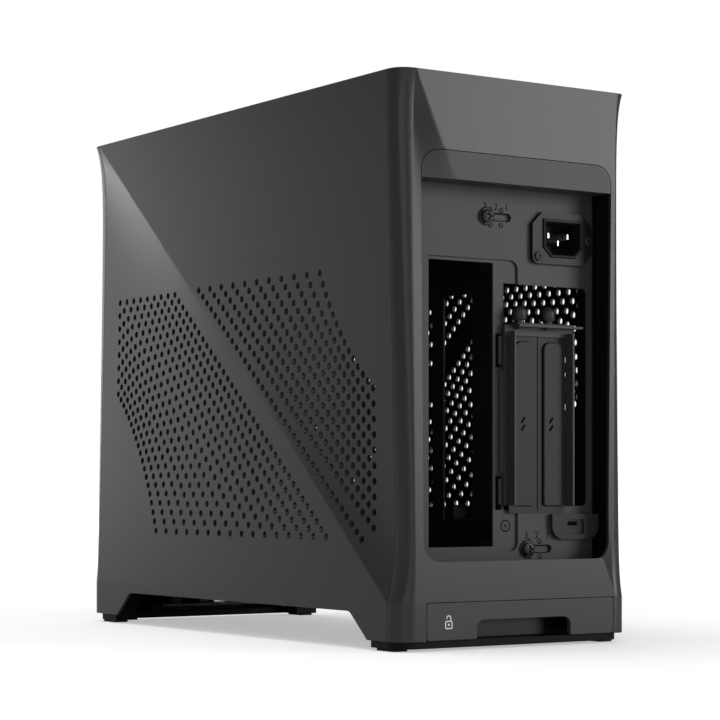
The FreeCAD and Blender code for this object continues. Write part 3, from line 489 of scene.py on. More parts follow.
def ribbon(path, width, low, high, closed=False):
    """A flat raised line: a rectangle of a width between two levels, carried along a path in a plane."""
    path = np.asarray(path, float)
    if closed:
        along = np.roll(path, -1, 0) - np.roll(path, 1, 0)
    else:
        along = np.gradient(path, axis=0)
    along = along / np.linalg.norm(along, axis=1, keepdims=True)
    side = np.stack([-along[:, 1], along[:, 0]], 1) * width / 2
    rows = []
    for offset, level in ((side, low), (side, high), (-side, high), (-side, low)):
        rows.append(np.concatenate([path + offset, np.full((len(path), 1), level)], 1))
    points = np.stack(rows, 1)
    count = len(path)
    faces = grid_faces(count, 4, True, closed).tolist()
    if not closed:
        faces += [[3, 2, 1, 0], [4 * count - 4, 4 * count - 3, 4 * count - 2, 4 * count - 1]]
    return points.reshape(-1, 3), faces


def offset_outline(corners, distance):
    """A closed outline moved outwards by a distance, its corners mitred; corners run anticlockwise."""
    corners = np.asarray(corners, float)
    ahead = np.roll(corners, -1, 0) - corners
    ahead = ahead / np.linalg.norm(ahead, axis=1, keepdims=True)
    normal = np.stack([ahead[:, 1], -ahead[:, 0]], 1)
    before = np.roll(normal, 1, 0)
    share = 1 + (normal * before).sum(1, keepdims=True)
    return corners + distance * (normal + before) / share


def assign(piece, body, slot, *nodes):
    """Gives a piece its body and hides the nodes that it stands for; the slot is not used."""
    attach(piece, body)
    if nodes:
        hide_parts(*nodes)


def make_piece(name, forms, material, body, slot, *nodes, crease=None):
    """A piece made of several forms: flat, or smooth where it turns by less than a crease in degrees."""
    piece = put_mesh(name, *joined(forms), smooth=crease is not None)
    if crease is not None:
        piece.data.set_sharp_from_angle(angle=math.radians(crease))
    piece.data.materials.append(bpy.data.materials[material])
    assign(piece, body, slot, *nodes)


def new_group(name, inputs, outputs):
    """An empty shader node group with named sockets."""
    group = bpy.data.node_groups.new(name, "ShaderNodeTree")
    kinds = {"colour": "NodeSocketColor", "value": "NodeSocketFloat"}
    for label, kind, value in inputs:
        socket = group.interface.new_socket(name=label, in_out="INPUT", socket_type=kinds[kind])
        socket.default_value = value
    for label, kind in outputs:
        group.interface.new_socket(name=label, in_out="OUTPUT", socket_type=kinds[kind])
    return group, group.nodes.new("NodeGroupInput"), group.nodes.new("NodeGroupOutput")


def add_node(tree, kind, **values):
    """A node with some of its settings and sockets filled in."""
    node = tree.nodes.new(kind)
    for key, value in values.items():
        if hasattr(node, key):
            setattr(node, key, value)
        else:
            node.inputs[key].default_value = value
    return node


def arithmetic(tree, operation, first, second):
    """A Math node fed by sockets or numbers."""
    node = add_node(tree, "ShaderNodeMath", operation=operation)
    for index, value in enumerate((first, second)):
        if isinstance(value, (int, float)):
            node.inputs[index].default_value = value
        else:
            tree.links.new(value, node.inputs[index])
    return node.outputs[0]


def tint(group, given, tone, result):
    """Scales the given colour of a group by a tone and hands it out."""
    mix = add_node(group, "ShaderNodeVectorMath", operation="SCALE")
    group.links.new(given.outputs["Colour"], mix.inputs[0])
    group.links.new(tone, mix.inputs["Scale"])
    group.links.new(mix.outputs["Vector"], result.inputs["Colour"])


def coat_grain_and_shade_group():
    """Sprayed coat: slow clouding of the tone, a fine grain in gloss and height, and painted shade that
    darkens the inside of the case.

    The painted shade starts at a depth of its own and is a step along the object's y.
    """
    group, given, result = new_group(
        "Coat grain",
        [("Colour", "colour", (0.1, 0.1, 0.1, 1)), ("Clouding", "value", 0.06), ("Roughness", "value", 0.4),
         ("Gloss span", "value", 0.08), ("Grain scale", "value", 900.0), ("Inner tone", "value", 1.0),
         ("Inner start", "value", 0.156)],
        [("Colour", "colour"), ("Roughness", "value"), ("Height", "value")])
    place = add_node(group, "ShaderNodeTexCoord")
    cloud = add_node(group, "ShaderNodeTexNoise", Scale=7.0, Detail=3.0)
    grain = add_node(group, "ShaderNodeTexNoise", Detail=2.0, Roughness=0.6)
    link = group.links.new
    link(place.outputs["Object"], cloud.inputs["Vector"])
    link(place.outputs["Object"], grain.inputs["Vector"])
    link(given.outputs["Grain scale"], grain.inputs["Scale"])
    fine_share, fade = 0.6, 0.0012
    even = arithmetic(group, "SUBTRACT", cloud.outputs["Fac"], noise_mean)
    fine = arithmetic(group, "SUBTRACT", grain.outputs["Fac"], noise_mean)
    both = arithmetic(group, "ADD", even, arithmetic(group, "MULTIPLY", fine, fine_share))
    tone = arithmetic(group, "ADD", arithmetic(group, "MULTIPLY", both, given.outputs["Clouding"]), 1.0)
    # Painted shade: below the start along the object's y, the colour is scaled down to the inside shade
    # tone
    axes = add_node(group, "ShaderNodeSeparateXYZ")
    inner = add_node(group, "ShaderNodeMapRange")
    link(given.outputs["Inner start"], inner.inputs["From Min"])
    link(arithmetic(group, "ADD", given.outputs["Inner start"], fade), inner.inputs["From Max"])
    link(place.outputs["Object"], axes.inputs["Vector"])
    link(axes.outputs["Y"], inner.inputs["Value"])
    link(given.outputs["Inner tone"], inner.inputs["To Min"])
    tone = arithmetic(group, "MULTIPLY", tone, inner.outputs["Result"])
    tint(group, given, tone, result)
    gloss = arithmetic(group, "MULTIPLY", fine, given.outputs["Gloss span"])
    link(arithmetic(group, "ADD", gloss, given.outputs["Roughness"]), result.inputs["Roughness"])
    link(grain.outputs["Fac"], result.inputs["Height"])


def brushed_group():
    """Drawn or turned metal: noise stretched along one axis in tone, gloss and height."""
    group, given, result = new_group(
        "Drawn lines",
        [("Colour", "colour", (0.5, 0.5, 0.5, 1)), ("Contrast", "value", 0.25), ("Roughness", "value", 0.3),
         ("Line scale", "value", 2500.0), ("Stretch", "value", 0.05)],
        [("Colour", "colour"), ("Roughness", "value"), ("Height", "value")])
    place = add_node(group, "ShaderNodeTexCoord")
    drawn = add_node(group, "ShaderNodeMapping")
    stretch = add_node(group, "ShaderNodeCombineXYZ", X=1.0, Z=1.0)
    lines = add_node(group, "ShaderNodeTexNoise", Detail=4.0)
    link = group.links.new
    link(given.outputs["Stretch"], stretch.inputs["Y"])
    link(place.outputs["Object"], drawn.inputs["Vector"])
    link(stretch.outputs["Vector"], drawn.inputs["Scale"])
    link(drawn.outputs["Vector"], lines.inputs["Vector"])
    link(given.outputs["Line scale"], lines.inputs["Scale"])
    gloss_share = 0.15
    even = arithmetic(group, "SUBTRACT", lines.outputs["Fac"], noise_mean)
    tone = arithmetic(group, "ADD", arithmetic(group, "MULTIPLY", even, given.outputs["Contrast"]), 1.0)
    tint(group, given, tone, result)
    gloss = arithmetic(group, "MULTIPLY", even, gloss_share)
    link(arithmetic(group, "ADD", gloss, given.outputs["Roughness"]), result.inputs["Roughness"])
    link(lines.outputs["Fac"], result.inputs["Height"])


def weave_group():
    """Woven net: two sets of fine bands that cross at right angles."""
    group, given, result = new_group(
        "Net weave",
        [("Colour", "colour", (0.02, 0.02, 0.02, 1)), ("Thread scale", "value", 300.0)],
        [("Colour", "colour"), ("Height", "value")])
    place = add_node(group, "ShaderNodeTexCoord")
    link = group.links.new
    bands = []
    for axis in ("X", "Y"):
        wave = add_node(group, "ShaderNodeTexWave", wave_type="BANDS", bands_direction=axis)
        link(place.outputs["Object"], wave.inputs["Vector"])
        link(given.outputs["Thread scale"], wave.inputs["Scale"])
        bands.append(wave.outputs["Fac"])
    height = arithmetic(group, "MAXIMUM", bands[0], bands[1])
    least_tone = 0.3
    tint(group, given, arithmetic(group, "ADD", height, least_tone), result)
    link(height, result.inputs["Height"])


def new_finish(name, group, values, metallic, bump, distance, specular=0.5, roughness=None):
    """A material whose tone, gloss and fine relief come from a node group."""
    material = bpy.data.materials.new(name)
    material.use_nodes = True
    tree = material.node_tree
    shader = tree.nodes["Principled BSDF"]
    source = add_node(tree, "ShaderNodeGroup", node_tree=bpy.data.node_groups[group])
    for key, value in values.items():
        source.inputs[key].default_value = value
    relief = add_node(tree, "ShaderNodeBump", Strength=bump, Distance=distance)
    tree.links.new(source.outputs["Colour"], shader.inputs["Base Color"])
    if roughness is None:
        tree.links.new(source.outputs["Roughness"], shader.inputs["Roughness"])
    else:
        shader.inputs["Roughness"].default_value = roughness
    tree.links.new(source.outputs["Height"], relief.inputs["Height"])
    tree.links.new(relief.outputs["Normal"], shader.inputs["Normal"])
    shader.inputs["Metallic"].default_value = metallic
    shader.inputs["Specular IOR Level"].default_value = specular


# Name, colour, clouding, roughness, gloss span, grain scale, metallic, bump, bump distance, specular
coats = (
    ("Satin charcoal", "shell", 0.07, 0.29, 0.06, 1100, 0.3, 0.05, 0.00004, 0.3),
    ("Inner coat", "inside", 0.2, 0.6, 0.1, 900, 0, 0.08, 0.00005, 0.15),
    ("Satin steel coat", "chassis", 0.1, 0.46, 0.12, 900, 0, 0.08, 0.00005, 0.3),
    ("Lip coat", "lip", 0.07, 0.38, 0.08, 1100, 0.2, 0.05, 0.00004, 0.25),
    ("Drawer coat", "shell", 0.07, 0.32, 0.08, 1100, 0, 0.05, 0.00004, 0.3),
    ("Cover coat", "cover", 0.1, 0.46, 0.12, 900, 0, 0.08, 0.00005, 0.2),
    ("Inner steel coat", "inner_steel", 0.1, 0.55, 0.12, 900, 0, 0.08, 0.00005, 0.15),
    ("Matte moulding", "moulding", 0.2, 0.6, 0.15, 1400, 0, 0.25, 0.0001, 0.15),
    ("Smooth moulding", "gloss", 0.15, 0.4, 0.1, 1600, 0, 0.1, 0.00005, 0.25),
    ("Pad rubber", "rubber", 0.3, 0.8, 0.15, 700, 0, 0.3, 0.0002, 0.5),
    ("Board laminate", "board", 0.5, 0.45, 0.2, 500, 0, 0.1, 0.00005, 0.5),
    ("Dark print", "dark_print", 0.1, 0.7, 0.08, 900, 0, 0.05, 0.00002, 0.05),
    ("Light print", "light_print", 0.05, 0.5, 0.08, 900, 0, 0.05, 0.00002, 0.5),
)
# Painted shade inside the case: how dark the steel and the drawer's faces get behind the start along y
inside_painted_shade = {
    "Satin steel coat": {"Inner tone": 0.12},
    "Drawer coat": {"Inner tone": 0.1, "Inner start": 0.1735},
}
slot_finish = {
    "shell_coat": "Satin charcoal", "chassis_coat": "Satin steel coat", "base_plastic": "Matte moulding",
    "black_plastic": "Smooth moulding", "rubber": "Pad rubber", "screw_steel": "Blackened steel",
    "bright_metal": "Plated metal", "board_laminate": "Board laminate", "filter_mesh": "Dust net",
    "button_metal": "Satin charcoal",
}
node_finish = {"drawer_face": "Drawer coat"}
for covered in ("slot_cover_left", "slot_cover_right", "lock_tab"):
    node_finish[covered] = "Cover coat"
# Steel parts inside the case get the darker colour as painted shade
for hidden in ("floor_plate", "front_frame", "top_bracket", "psu_bracket", "riser_bracket"):
    node_finish[hidden] = "Inner steel coat"


class CASE_OT_finishes(bpy.types.Operator):
    """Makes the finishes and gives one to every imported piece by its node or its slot."""
    bl_idname = "case.finishes"
    bl_label = "Finishes"

    def execute(self, context):
        tone = context.scene.case_colours

        def solid(name):
            """A colour of the settings with full cover."""
            return tuple(getattr(tone, name)) + (1.0,)

        coat_grain_and_shade_group()
        brushed_group()
        weave_group()
        for name, paint, clouding, roughness, span, scale, metallic, bump, distance, specular in coats:
            values = {"Colour": solid(paint), "Clouding": clouding, "Roughness": roughness,
                      "Gloss span": span, "Grain scale": scale}
            values.update(inside_painted_shade.get(name, {}))
            new_finish(name, "Coat grain", values, metallic, bump, distance, specular)
        drawn = {"Colour": solid("steel"), "Contrast": 0.4, "Roughness": 0.4, "Line scale": 1800.0}
        new_finish("Blackened steel", "Drawn lines", drawn, 0.5, 0.05, 0.00003)
        plated = {"Colour": solid("bright"), "Contrast": 0.2, "Roughness": 0.25}
        new_finish("Plated metal", "Drawn lines", plated, 1.0, 0.05, 0.00003)
        new_finish("Dust net", "Net weave", {"Colour": solid("mesh")}, 0.0, 0.6, 0.0003, roughness=0.8)
        slots = {entry["node"]: entry["material_slot"] for entry in frame["record"]["subparts"]}
        for name, node in frame["nodes"].items():
            finish = node_finish.get(name, slot_finish[slots[name]])
            node.data.materials.clear()
            node.data.materials.append(bpy.data.materials[finish])
        return {"FINISHED"}


def hole_centres(shell):
    """Centres of the perforation: bowed lines that fan out on both sides of the ridge.

    A line runs straight from its start to its end and is lifted by sag * 4 s (1 - s) towards the ridge.
    """
    ridge = np.array([shell.rear - shell.front, -shell.span])
    across = np.array([-ridge[1], ridge[0]]) / np.linalg.norm(ridge)
    row = 0.0085
    front_edge, rear_edge = -0.1465, 0.147
    top_starts = 9
    lines = []
    for j in range(16):
        start = (-0.071 - 0.0094375 * j, 0.209)
        if j >= top_starts:
            start = (front_edge, 0.2005 - row * (j - top_starts))
        end = (0.105 - 0.01313 * j, 0.061)
        lines.append((start, end, round(36 - 17 * j / 15), 0.007 * (j / 15) ** 2))
    for j in range(11):
        start = (-0.040 + 0.0136 * j, 0.2095)
        end = (0.138, 0.060) if j == 0 else (rear_edge, 0.0665 + row * (j - 1))
        lines.append((start, end, round(37 - 2.3 * j), -0.0058 * (j / 10) ** 2))
    centres = []
    for start, end, count, sag in lines:
        s = np.linspace(0, 1, count)[:, None]
        centres.append(np.array(start) * (1 - s) + np.array(end) * s + across * sag * 4 * s * (1 - s))
    return np.concatenate(centres)


ray_runs = np.array([0.0012, 0.0026, 0.0042, 0.0061, 0.0084, 0.0112, 0.0146, 0.0188, 0.024, 0.0306,
                     0.039, 0.050, 0.064, 0.082, 0.105, 0.135, 0.170, 0.205, 0.245])


def facet_rays(shell, first, last, step, gap):
    """Straight lines from each end of a face's ridge to points at set runs along the far edge.

    A line starts where it is a gap away from its neighbour, so the ends stay free of slivers.
    """
    tip = np.array([first, case_top])
    foot = np.array([last, shell.size.skirt])
    lean = (last - first) / np.linalg.norm(foot - tip)
    latest = 0.97
    rays = []
    for run, before in zip(ray_runs, np.concatenate([[0.0], ray_runs[:-1]])):
        start = gap / ((run - before) * lean)
        if start >= latest:
            continue
        for origin, end in ((tip, foot + [0, run]), (foot, tip - [0, run])):
            rays.append(open_line([origin + (end - origin) * start, end], step))
    return rays


def distance_to(points, others):
    """Distance of each point to the nearest of some others, worked out in blocks."""
    blocks = [np.linalg.norm(block[:, None] - others[None], axis=-1).min(1)
              for block in np.array_split(points, max(1, len(points) // 400))]
    return np.concatenate(blocks)


def clear_of(points, outline, cuts, lines, margin, centres=no_points, radius=0.0):
    """Which points keep a margin from every border, line and hole."""
    keep = within(outline, points)
    for cut in cuts:
        keep &= ~within(cut, points)
    borders = [stepped(border, margin) for border in [outline] + cuts]
    borders += [open_line(line, margin) for line in lines]
    keep[keep] = distance_to(points[keep], np.concatenate(borders)) > margin
    if len(centres):
        keep[keep] = distance_to(points[keep], centres) > radius + margin
    return keep


def free_rays(rays, outline, cuts, lines, margin, centres=no_points, radius=0.0):
    """The stretches of some rays that keep clear of borders and holes, each of two or more points."""
    stretches = []
    for ray in rays:
        keep = clear_of(ray, outline, cuts, lines, margin, centres, radius)
        marks = np.flatnonzero(np.diff(np.concatenate([[0], keep.astype(int), [0]])))
        stretches += [ray[start:end] for start, end in zip(marks[::2], marks[1::2]) if end - start > 1]
    return stretches


class CASE_OT_side_panels(bpy.types.Operator):
    """Both long sides: ridged sheets with the full perforation and the foot cut-out."""
    bl_idname = "case.side_panels"
    bl_label = "Side panels"

    def execute(self, context):
        size = context.scene.case_shell
        shell = Shell(size)
        front = shell.front + size.seam
        rear = shell.rear - size.seam
        foot_front = -half_length + 0.052
        foot_rear = half_length - 0.048
        foot_top = 0.0205
        foot_round = 0.006
        foot_slope = 0.024
        slope = foot_slope * (1 - size.bottom / foot_top)
        border_step, line_step = 0.004, 0.005
        ray_gap, ray_margin = 0.0008, 0.0009
        corners = [(front, size.bottom), (foot_front - slope, size.bottom), (foot_front, foot_top),
                   (foot_rear, foot_top), (foot_rear + slope, size.bottom), (rear, size.bottom),
                   (rear, case_top), (front, case_top)]
        outline = stepped(rounded(corners, [0, 0, foot_round, foot_round, 0, 0, 0, 0]), border_step)
        centres = hole_centres(shell)
        holes = list(centres[:, None] + circle(0, 0, size.hole, size.hole_steps)[None])
        fold = [(front + line_inset, size.skirt), (rear - line_inset, size.skirt)]
        lines = [shell.ridge_line(front, rear, line_step), open_line(fold, line_step)]
        rays = facet_rays(shell, shell.front, shell.rear, size.grid, ray_gap)
        rays = free_rays(rays, outline, [], lines, ray_margin, centres, size.hole)
        flat, triangles = cut_sheet(outline, [], holes, lines + rays)
        for side, turn in (("right", 1), ("left", -1)):
            sheet_piece(side + "_side_sheet", side + "_side_panel", shell.side, flat, triangles,
                        size.sheet, turn, lap=size.seam)
        return {"FINISHED"}


def end_sheet(shell, notch, cuts):
    """Triangles of a short side with both its corners, less a notch in its lower edge and some cut-outs."""
    size = shell.size
    first = -shell.round_run
    last = shell.face_run + shell.tight_run
    border_step, ridge_step, edge_step, ray_step = 0.0022, 0.004, 0.006, 0.0035
    margin, ray_margin = 0.0008, 0.0007
    corners = [(first, size.bottom)]
    folds = [(first + line_inset, last - line_inset)]
    if notch:
        left, right, top = notch
        corners += [(left, size.bottom), (left, top), (right, top), (right, size.bottom)]
        folds = [(first + line_inset, left - line_inset), (right + line_inset, last - line_inset)]
    corners += [(last, size.bottom), (last, case_top), (first, case_top)]
    outline = stepped(corners, border_step)
    lines = [shell.ridge_line(0.0, shell.face_run, ridge_step)]
    for u in (0, shell.face_run):
        lines.append(open_line([(u, size.bottom + line_inset), (u, case_top - line_inset)], edge_step))
    for start, end in folds:
        lines.append(open_line([(start, size.skirt), (end, size.skirt)], border_step))
    near, far, count = 0.0015, 0.04, 12
    skirt_row, row = 0.005, 0.008
    rows = np.concatenate([np.arange(size.bottom, size.skirt, skirt_row),
                           size.skirt + np.geomspace(near, far, count),
                           np.arange(size.skirt + far + row, case_top - far - row / 2, row),
                           case_top - np.geomspace(far, near, count)])
    share = np.arange(1, 8) / 8
    turns = [first + shell.round_run * share, shell.face_run + shell.tight_run * share]
    bent = [np.stack([m.ravel() for m in np.meshgrid(turn, rows)], -1) for turn in turns]
    points = np.concatenate(bent)
    points = points[clear_of(points, outline, cuts, lines, margin)]
    rays = facet_rays(shell, 0.0, shell.face_run, ray_step, ray_margin)
    rays = free_rays(rays, outline, cuts, lines, ray_margin)
    return cut_sheet(outline, cuts, [], lines + rays, points)


def rounded_box(left, right, low, high, radii, steps=6):
    """Outline of a rectangle with rounded corners, anticlockwise from the lower left one."""
    return rounded([(left, low), (right, low), (right, high), (left, high)], radii, steps)


# Rear opening: its reach to both sides of the middle plane, its heights and its corner radius
opening_left, opening_right = 0.0635, 0.0684
opening_low, opening_high = 0.0483, 0.272
opening_round = 0.011


class CASE_OT_end_panels(bpy.types.Operator):
    """Rear sheet with the opening and the drawer's notch, and front sheet with ports and button hole."""
    bl_idname = "case.end_panels"
    bl_label = "End panels"

    def execute(self, context):
        size = context.scene.case_shell
        shell = Shell(size)
        # The run at which a short side crosses the middle plane
        middle = shell.left
        opening = rounded_box(middle - opening_left, middle + opening_right, opening_low, opening_high,
                              [opening_round] * 4, 10)
        opening_step = 0.004
        notch_left, notch_right = 0.0618, 0.0695
        notch = (middle - notch_left, middle + notch_right, size.skirt)
        flat, triangles = end_sheet(shell, notch, [stepped(opening, opening_step)])
        sheet_piece("rear_sheet", "rear_panel", shell.end, flat, triangles, size.sheet)
        port_low = 0.0106
        # Middle, half width, height and corner radius of each port
        ports = ((-0.050, 0.0066, 0.0058, 0.0004), (-0.030, 0.0066, 0.0058, 0.0004),
                 (-0.012, 0.0045, 0.0033, 0.00164))
        cuts = [rounded_box(middle + x - half, middle + x + half, port_low, port_low + tall, [radius] * 4)
                for x, half, tall, radius in ports]
        # Middle, height, radius and steps of the jack's and the button's hole
        round_holes = ((0.002, 0.0136, 0.0021, 24), (0.024, 0.0155, 0.0063, 40))
        cuts += [circle(middle + x, z, radius, steps) for x, z, radius, steps in round_holes]
        flat, triangles = end_sheet(shell, None, cuts)
        sheet_piece("front_sheet", "front_panel", shell.end, flat, triangles, size.sheet, -1)
        return {"FINISHED"}


class CASE_OT_rear_lip(bpy.types.Operator):
    """Flush infill at the top of the rear opening; its face carries the rear sheet's ridge on."""
    bl_idname = "case.rear_lip"
    bl_label = "Rear lip"

    def execute(self, context):
        shell = Shell(context.scene.case_shell)
        gap, low, depth = 0.0004, 0.2563, 0.0138
        step = 0.003
        ray_margin = 0.0007
        left, right = shell.left - opening_left + gap, shell.left + opening_right - gap
        turn = opening_round - gap
        outline = stepped(rounded_box(left, right, low, opening_high - gap, [0, 0, turn, turn], 10), step)
        ridge = shell.ridge_line(0.0, shell.face_run, step)
        lines = [ridge[within(outline, ridge)][1:-1]]
        rays = facet_rays(shell, 0.0, shell.face_run, step, ray_margin)
        rays = free_rays(rays, outline, [], lines, ray_margin)
        flat, triangles = cut_sheet(outline, [], [], lines + rays)
        sheet_piece("rear_lip_face", "rear_lip", shell.end, flat, triangles, depth, coat="Lip coat")
        return {"FINISHED"}


def dome(radius, height, steps=8):
    """Profile of a rounded head: a quarter ellipse from its rim towards its top."""
    turn = np.linspace(0, math.pi / 2, steps + 1)[:-1]
    return np.stack([radius * np.cos(turn), height * np.sin(turn)], -1)


def cross_recess(reach, width, depth):
    """Relief of a cross-shaped recess: full depth where either arm covers the point, fading at its edge."""
    edge = width * 0.35

    def arm(along, over):
        """How far a point lies in one arm, from 0 to 1."""
        return np.clip((reach - np.abs(along)) / edge, 0, 1) * np.clip((width - np.abs(over)) / edge, 0, 1)

    def relief(a, b):
        """Depth at plan coordinates."""
        return depth * np.maximum(arm(a, b), arm(b, a))
    return relief


def pan_head(radius, height):
    """A screw head with a low elliptic crown and a cross recess, made upright from its seat."""
    rings = np.linspace(0.97, 0.06, 22)
    shoulder = 0.55
    rim = [(radius * 0.2, 0.0), (radius * 0.96, 0.0), (radius, height * 0.12), (radius, height * shoulder)]
    rise = shoulder + (1 - shoulder) * np.sqrt(1 - (rings * 0.98) ** 2)
    crown = np.stack([radius * rings, height * rise], -1)
    recess = cross_recess(radius * 0.62, radius * 0.16, height * 0.6)
    return turned(np.concatenate([rim, crown]), 64, recess)


class CASE_OT_thumbscrews(bpy.types.Operator):
    """Two domed thumbscrews that stand on the slot cage's bar."""
    bl_idname = "case.thumbscrews"
    bl_label = "Thumbscrews"

    def execute(self, context):
        radius = context.scene.case_hardware.thumb
        low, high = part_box("slot_thumbscrews")
        seat = 0.1808
        neck, neck_radius = 0.0018, 0.0028
        crown_low = neck + 0.0038
        top = high.z - seat
        tail = low.z - seat
        shank_radius = 0.0015
        core, edge = 0.0004, 0.0004
        rim = [(0.0006, 0.0), (neck_radius, 0.0), (neck_radius, neck), (radius * 0.93, neck),
               (radius, neck + edge), (radius, crown_low)]
        crown = dome(radius, top - crown_low, 12) + np.array([0, crown_low])
        head = turned(np.concatenate([rim, crown[1:], [[radius * 0.05, top - 0.00002]]]), 48)
        shank = turned([(core, tail), (0.0014, tail), (shank_radius, tail + 0.0003),
                        (shank_radius, -0.0001), (core, 0.0)], 20)
        forms = []
        for x in (low.x + radius, high.x - radius):
            place = np.array([x, (low.y + high.y) / 2, seat])
            forms += [(points + place, faces) for points, faces in (head, shank)]
        make_piece("domed_thumbscrews", forms, "Blackened steel", "spine", "screw_steel",
                   "slot_thumbscrews", crease=40)
        return {"FINISHED"}


adjuster_places = ((0.0085, 0.240), (-0.0205, 0.0538))


class CASE_OT_adjusters(bpy.types.Operator):
    """Two adjusting screws with cross recesses on toothed washers."""
    bl_idname = "case.adjusters"
    bl_label = "Adjusting screws"

    def execute(self, context):
        size = context.scene.case_hardware
        seat, washer_top = (corner.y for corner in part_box("adjusting_washers"))
        back, head_top = (corner.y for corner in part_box("adjusting_screws"))
        core, shank_radius = 0.0004, 0.0016
        tail = back - washer_top
        head = pan_head(size.head, head_top - washer_top)
        shank = turned([(core, tail), (shank_radius, tail), (shank_radius, 0.0), (core, 0.0001)], 20)
        columns = 96
        turn = np.arange(columns) / columns * 2 * math.pi
        tooth_count, tooth_depth = 16, 0.05
        teeth = 1 + tooth_depth * np.sign(np.sin(turn * tooth_count))
        thick = washer_top - seat
        bore = 0.0020
        foot, rim = size.washer * 0.95, size.washer * 0.86
        bands = [(bore, 0.0, 1), (foot, 0.0, teeth), (foot, thick * 0.7, teeth),
                 (rim, thick, 1), (bore, thick, 1)]
        rows = [np.stack([radius * np.cos(turn) * reach, radius * np.sin(turn) * reach,
                          np.full(columns, height)], -1) for radius, height, reach in bands]
        washer = np.concatenate(rows), grid_faces(len(rows), columns, True, True).tolist()
        heads = []
        rings = []
        for x, z in adjuster_places:
            heads += [placed(head, x, washer_top, z), placed(shank, x, washer_top, z)]
            rings.append(placed(washer, x, seat, z))
        make_piece("cross_head_screws", heads, "Blackened steel", "spine", "screw_steel",
                   "adjusting_screws", crease=40)
        make_piece("toothed_washers", rings, "Blackened steel", "spine", "screw_steel", "adjusting_washers")
        return {"FINISHED"}


class CASE_OT_inlet_screws(bpy.types.Operator):
    """Two low screws with cross recesses in the mains inlet's flange."""
    bl_idname = "case.inlet_screws"
    bl_label = "Inlet screws"

    def execute(self, context):
        radius = context.scene.case_hardware.inlet_head
        low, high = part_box("inlet_screws")
        head = pan_head(radius, high.y - low.y)
        places = (high.x - radius, low.z + radius), (low.x + radius, high.z - radius)
        forms = [placed(head, x, low.y, z) for x, z in places]
        make_piece("flange_screws", forms, "Blackened steel", "chassis", "screw_steel",
                   "inlet_screws", crease=40)
        return {"FINISHED"}


class CASE_OT_position_marks(bpy.types.Operator):
    """Numbers and pressed dimples beside both adjusting screws on the rear plate, with painted shade: dark
    rings round the dimples, dark outlines along the adjusting slots' edges and a dark plate in the lock
    tab's slot.
    """
    bl_idname = "case.position_marks"
    bl_label = "Position marks"

    def execute(self, context):
        size = context.scene.case_hardware
        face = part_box("rear_frame")[1].y
        pitch = 0.0076
        number_places = ((0.0093, 0.2458), (-0.0200, 0.0617))
        numbers = [rearward_text(digit, size.digit, x - pitch * step, face, z)
                   for x, z in number_places for step, digit in enumerate("321")]
        make_piece("position_numbers", numbers, "Dark print", "chassis", "chassis_coat")
        rise = 0.00015
        line, sunk, proud = 0.0005, -0.0001, 0.0001
        profile = [[(size.dimple * 1.25, sunk)], dome(size.dimple, rise, 6), [(0.0001, rise)]]
        dimple = turned(np.concatenate(profile), 20)
        # Painted shade: a dark ring round each dimple
        ring = ribbon(circle(0, 0, size.dimple * 1.1, 20), line, sunk, proud, True)
        places = ((0.0055, 0.244), (-0.0022, 0.2439), (0.0055, 0.2353), (-0.002, 0.2354),
                  (-0.022, 0.0583), (-0.0295, 0.058), (-0.022, 0.0497), (-0.0298, 0.0496))
        make_piece("pressed_dimples", [placed(dimple, x, face, z) for x, z in places], "Satin steel coat",
                   "chassis", "chassis_coat", crease=180)
        lines = [placed(ring, x, face, z) for x, z in places]
        # Painted shade: a dark outline along each adjusting slot's edge
        half = 0.0021
        end = 2 * pitch + half
        slot = rounded_box(-half, end, -half, half, [half * 0.98] * 4)
        lines += [placed(ribbon(slot, line, sunk, proud, True), x, face, z) for x, z in adjuster_places]
        # Painted shade: a dark plate in the lock tab's slot
        low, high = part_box("lock_tab")
        lock_reach, lock_tall, lock_aside, lock_drop = 0.0036, 0.0024, 0.0014, 0.0054
        lock = ribbon([(-lock_reach, 0), (lock_reach, 0)], lock_tall, 0.0001, 0.0003)
        lines.append(placed(lock, (low.x + high.x) / 2 + lock_aside, face, high.z - lock_drop))
        make_piece("plate_lines", lines, "Dark print", "chassis", "chassis_coat")
        return {"FINISHED"}


class CASE_OT_padlock_sign(bpy.types.Operator):
    """Open padlock on the drawer's face: an outlined body with a dot under a bow with one short leg."""
    bl_idname = "case.padlock_sign"
    bl_label = "Padlock sign"

    def execute(self, context):
        stroke = context.scene.case_hardware.stroke
        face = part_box("drawer_face")[1].y
        place = 0.047, face, 0.0122
        rise = 0.00005
        wide, body, bow = 0.0043, 0.0039, 0.0013
        leg, short_leg = 0.0017, 0.0013
        outline = rounded_box(-wide / 2, wide / 2, 0, body, [0.0005] * 4, 4)
        turn = np.linspace(0, math.pi, 13)
        arch = np.stack([bow * np.cos(turn), body + leg + bow * np.sin(turn)], -1)
        arch = np.concatenate([[(bow, body)], arch, [(-bow, body + short_leg)]])
        dot = circle(0, body / 2, 0.00035, 12)
        forms = []
        for path, width, closed in ((outline, stroke, True), (arch, stroke, False), (dot, 0.0006, True)):
            forms.append(placed(ribbon(path, width, -rise, rise, closed), *place))
        make_piece("padlock_sign", forms, "Light print", "drawer", "shell_coat")
        return {"FINISHED"}


def bent_tab(face, low, high):
    """An upright bent tab: a quarter ring that runs on into a flat tip, carried from low to high."""
    foot, tip, outer, inner = -0.0037, -0.0004, 0.0020, 0.0012
    sink = 0.0004
    turn = np.linspace(0, math.pi / 2, 7)
    base = face - sink
    curves = [np.stack([foot + outer - radius * np.cos(turn), base + radius * np.sin(turn)], -1)
              for radius in (outer, inner)]
    section = np.concatenate([curves[0], [(tip, base + outer), (tip, base + inner)], curves[1][::-1]])
    count = len(section)
    levels = np.linspace(low, high, 9)
    points = np.concatenate([np.concatenate([section, np.full((count, 1), z)], 1) for z in levels])
    faces = [quad[::-1] for quad in grid_faces(len(levels), count, True).tolist()]
    last = len(levels) * count
    return points, faces + [list(range(count)), list(range(last - 1, last - count - 1, -1))]


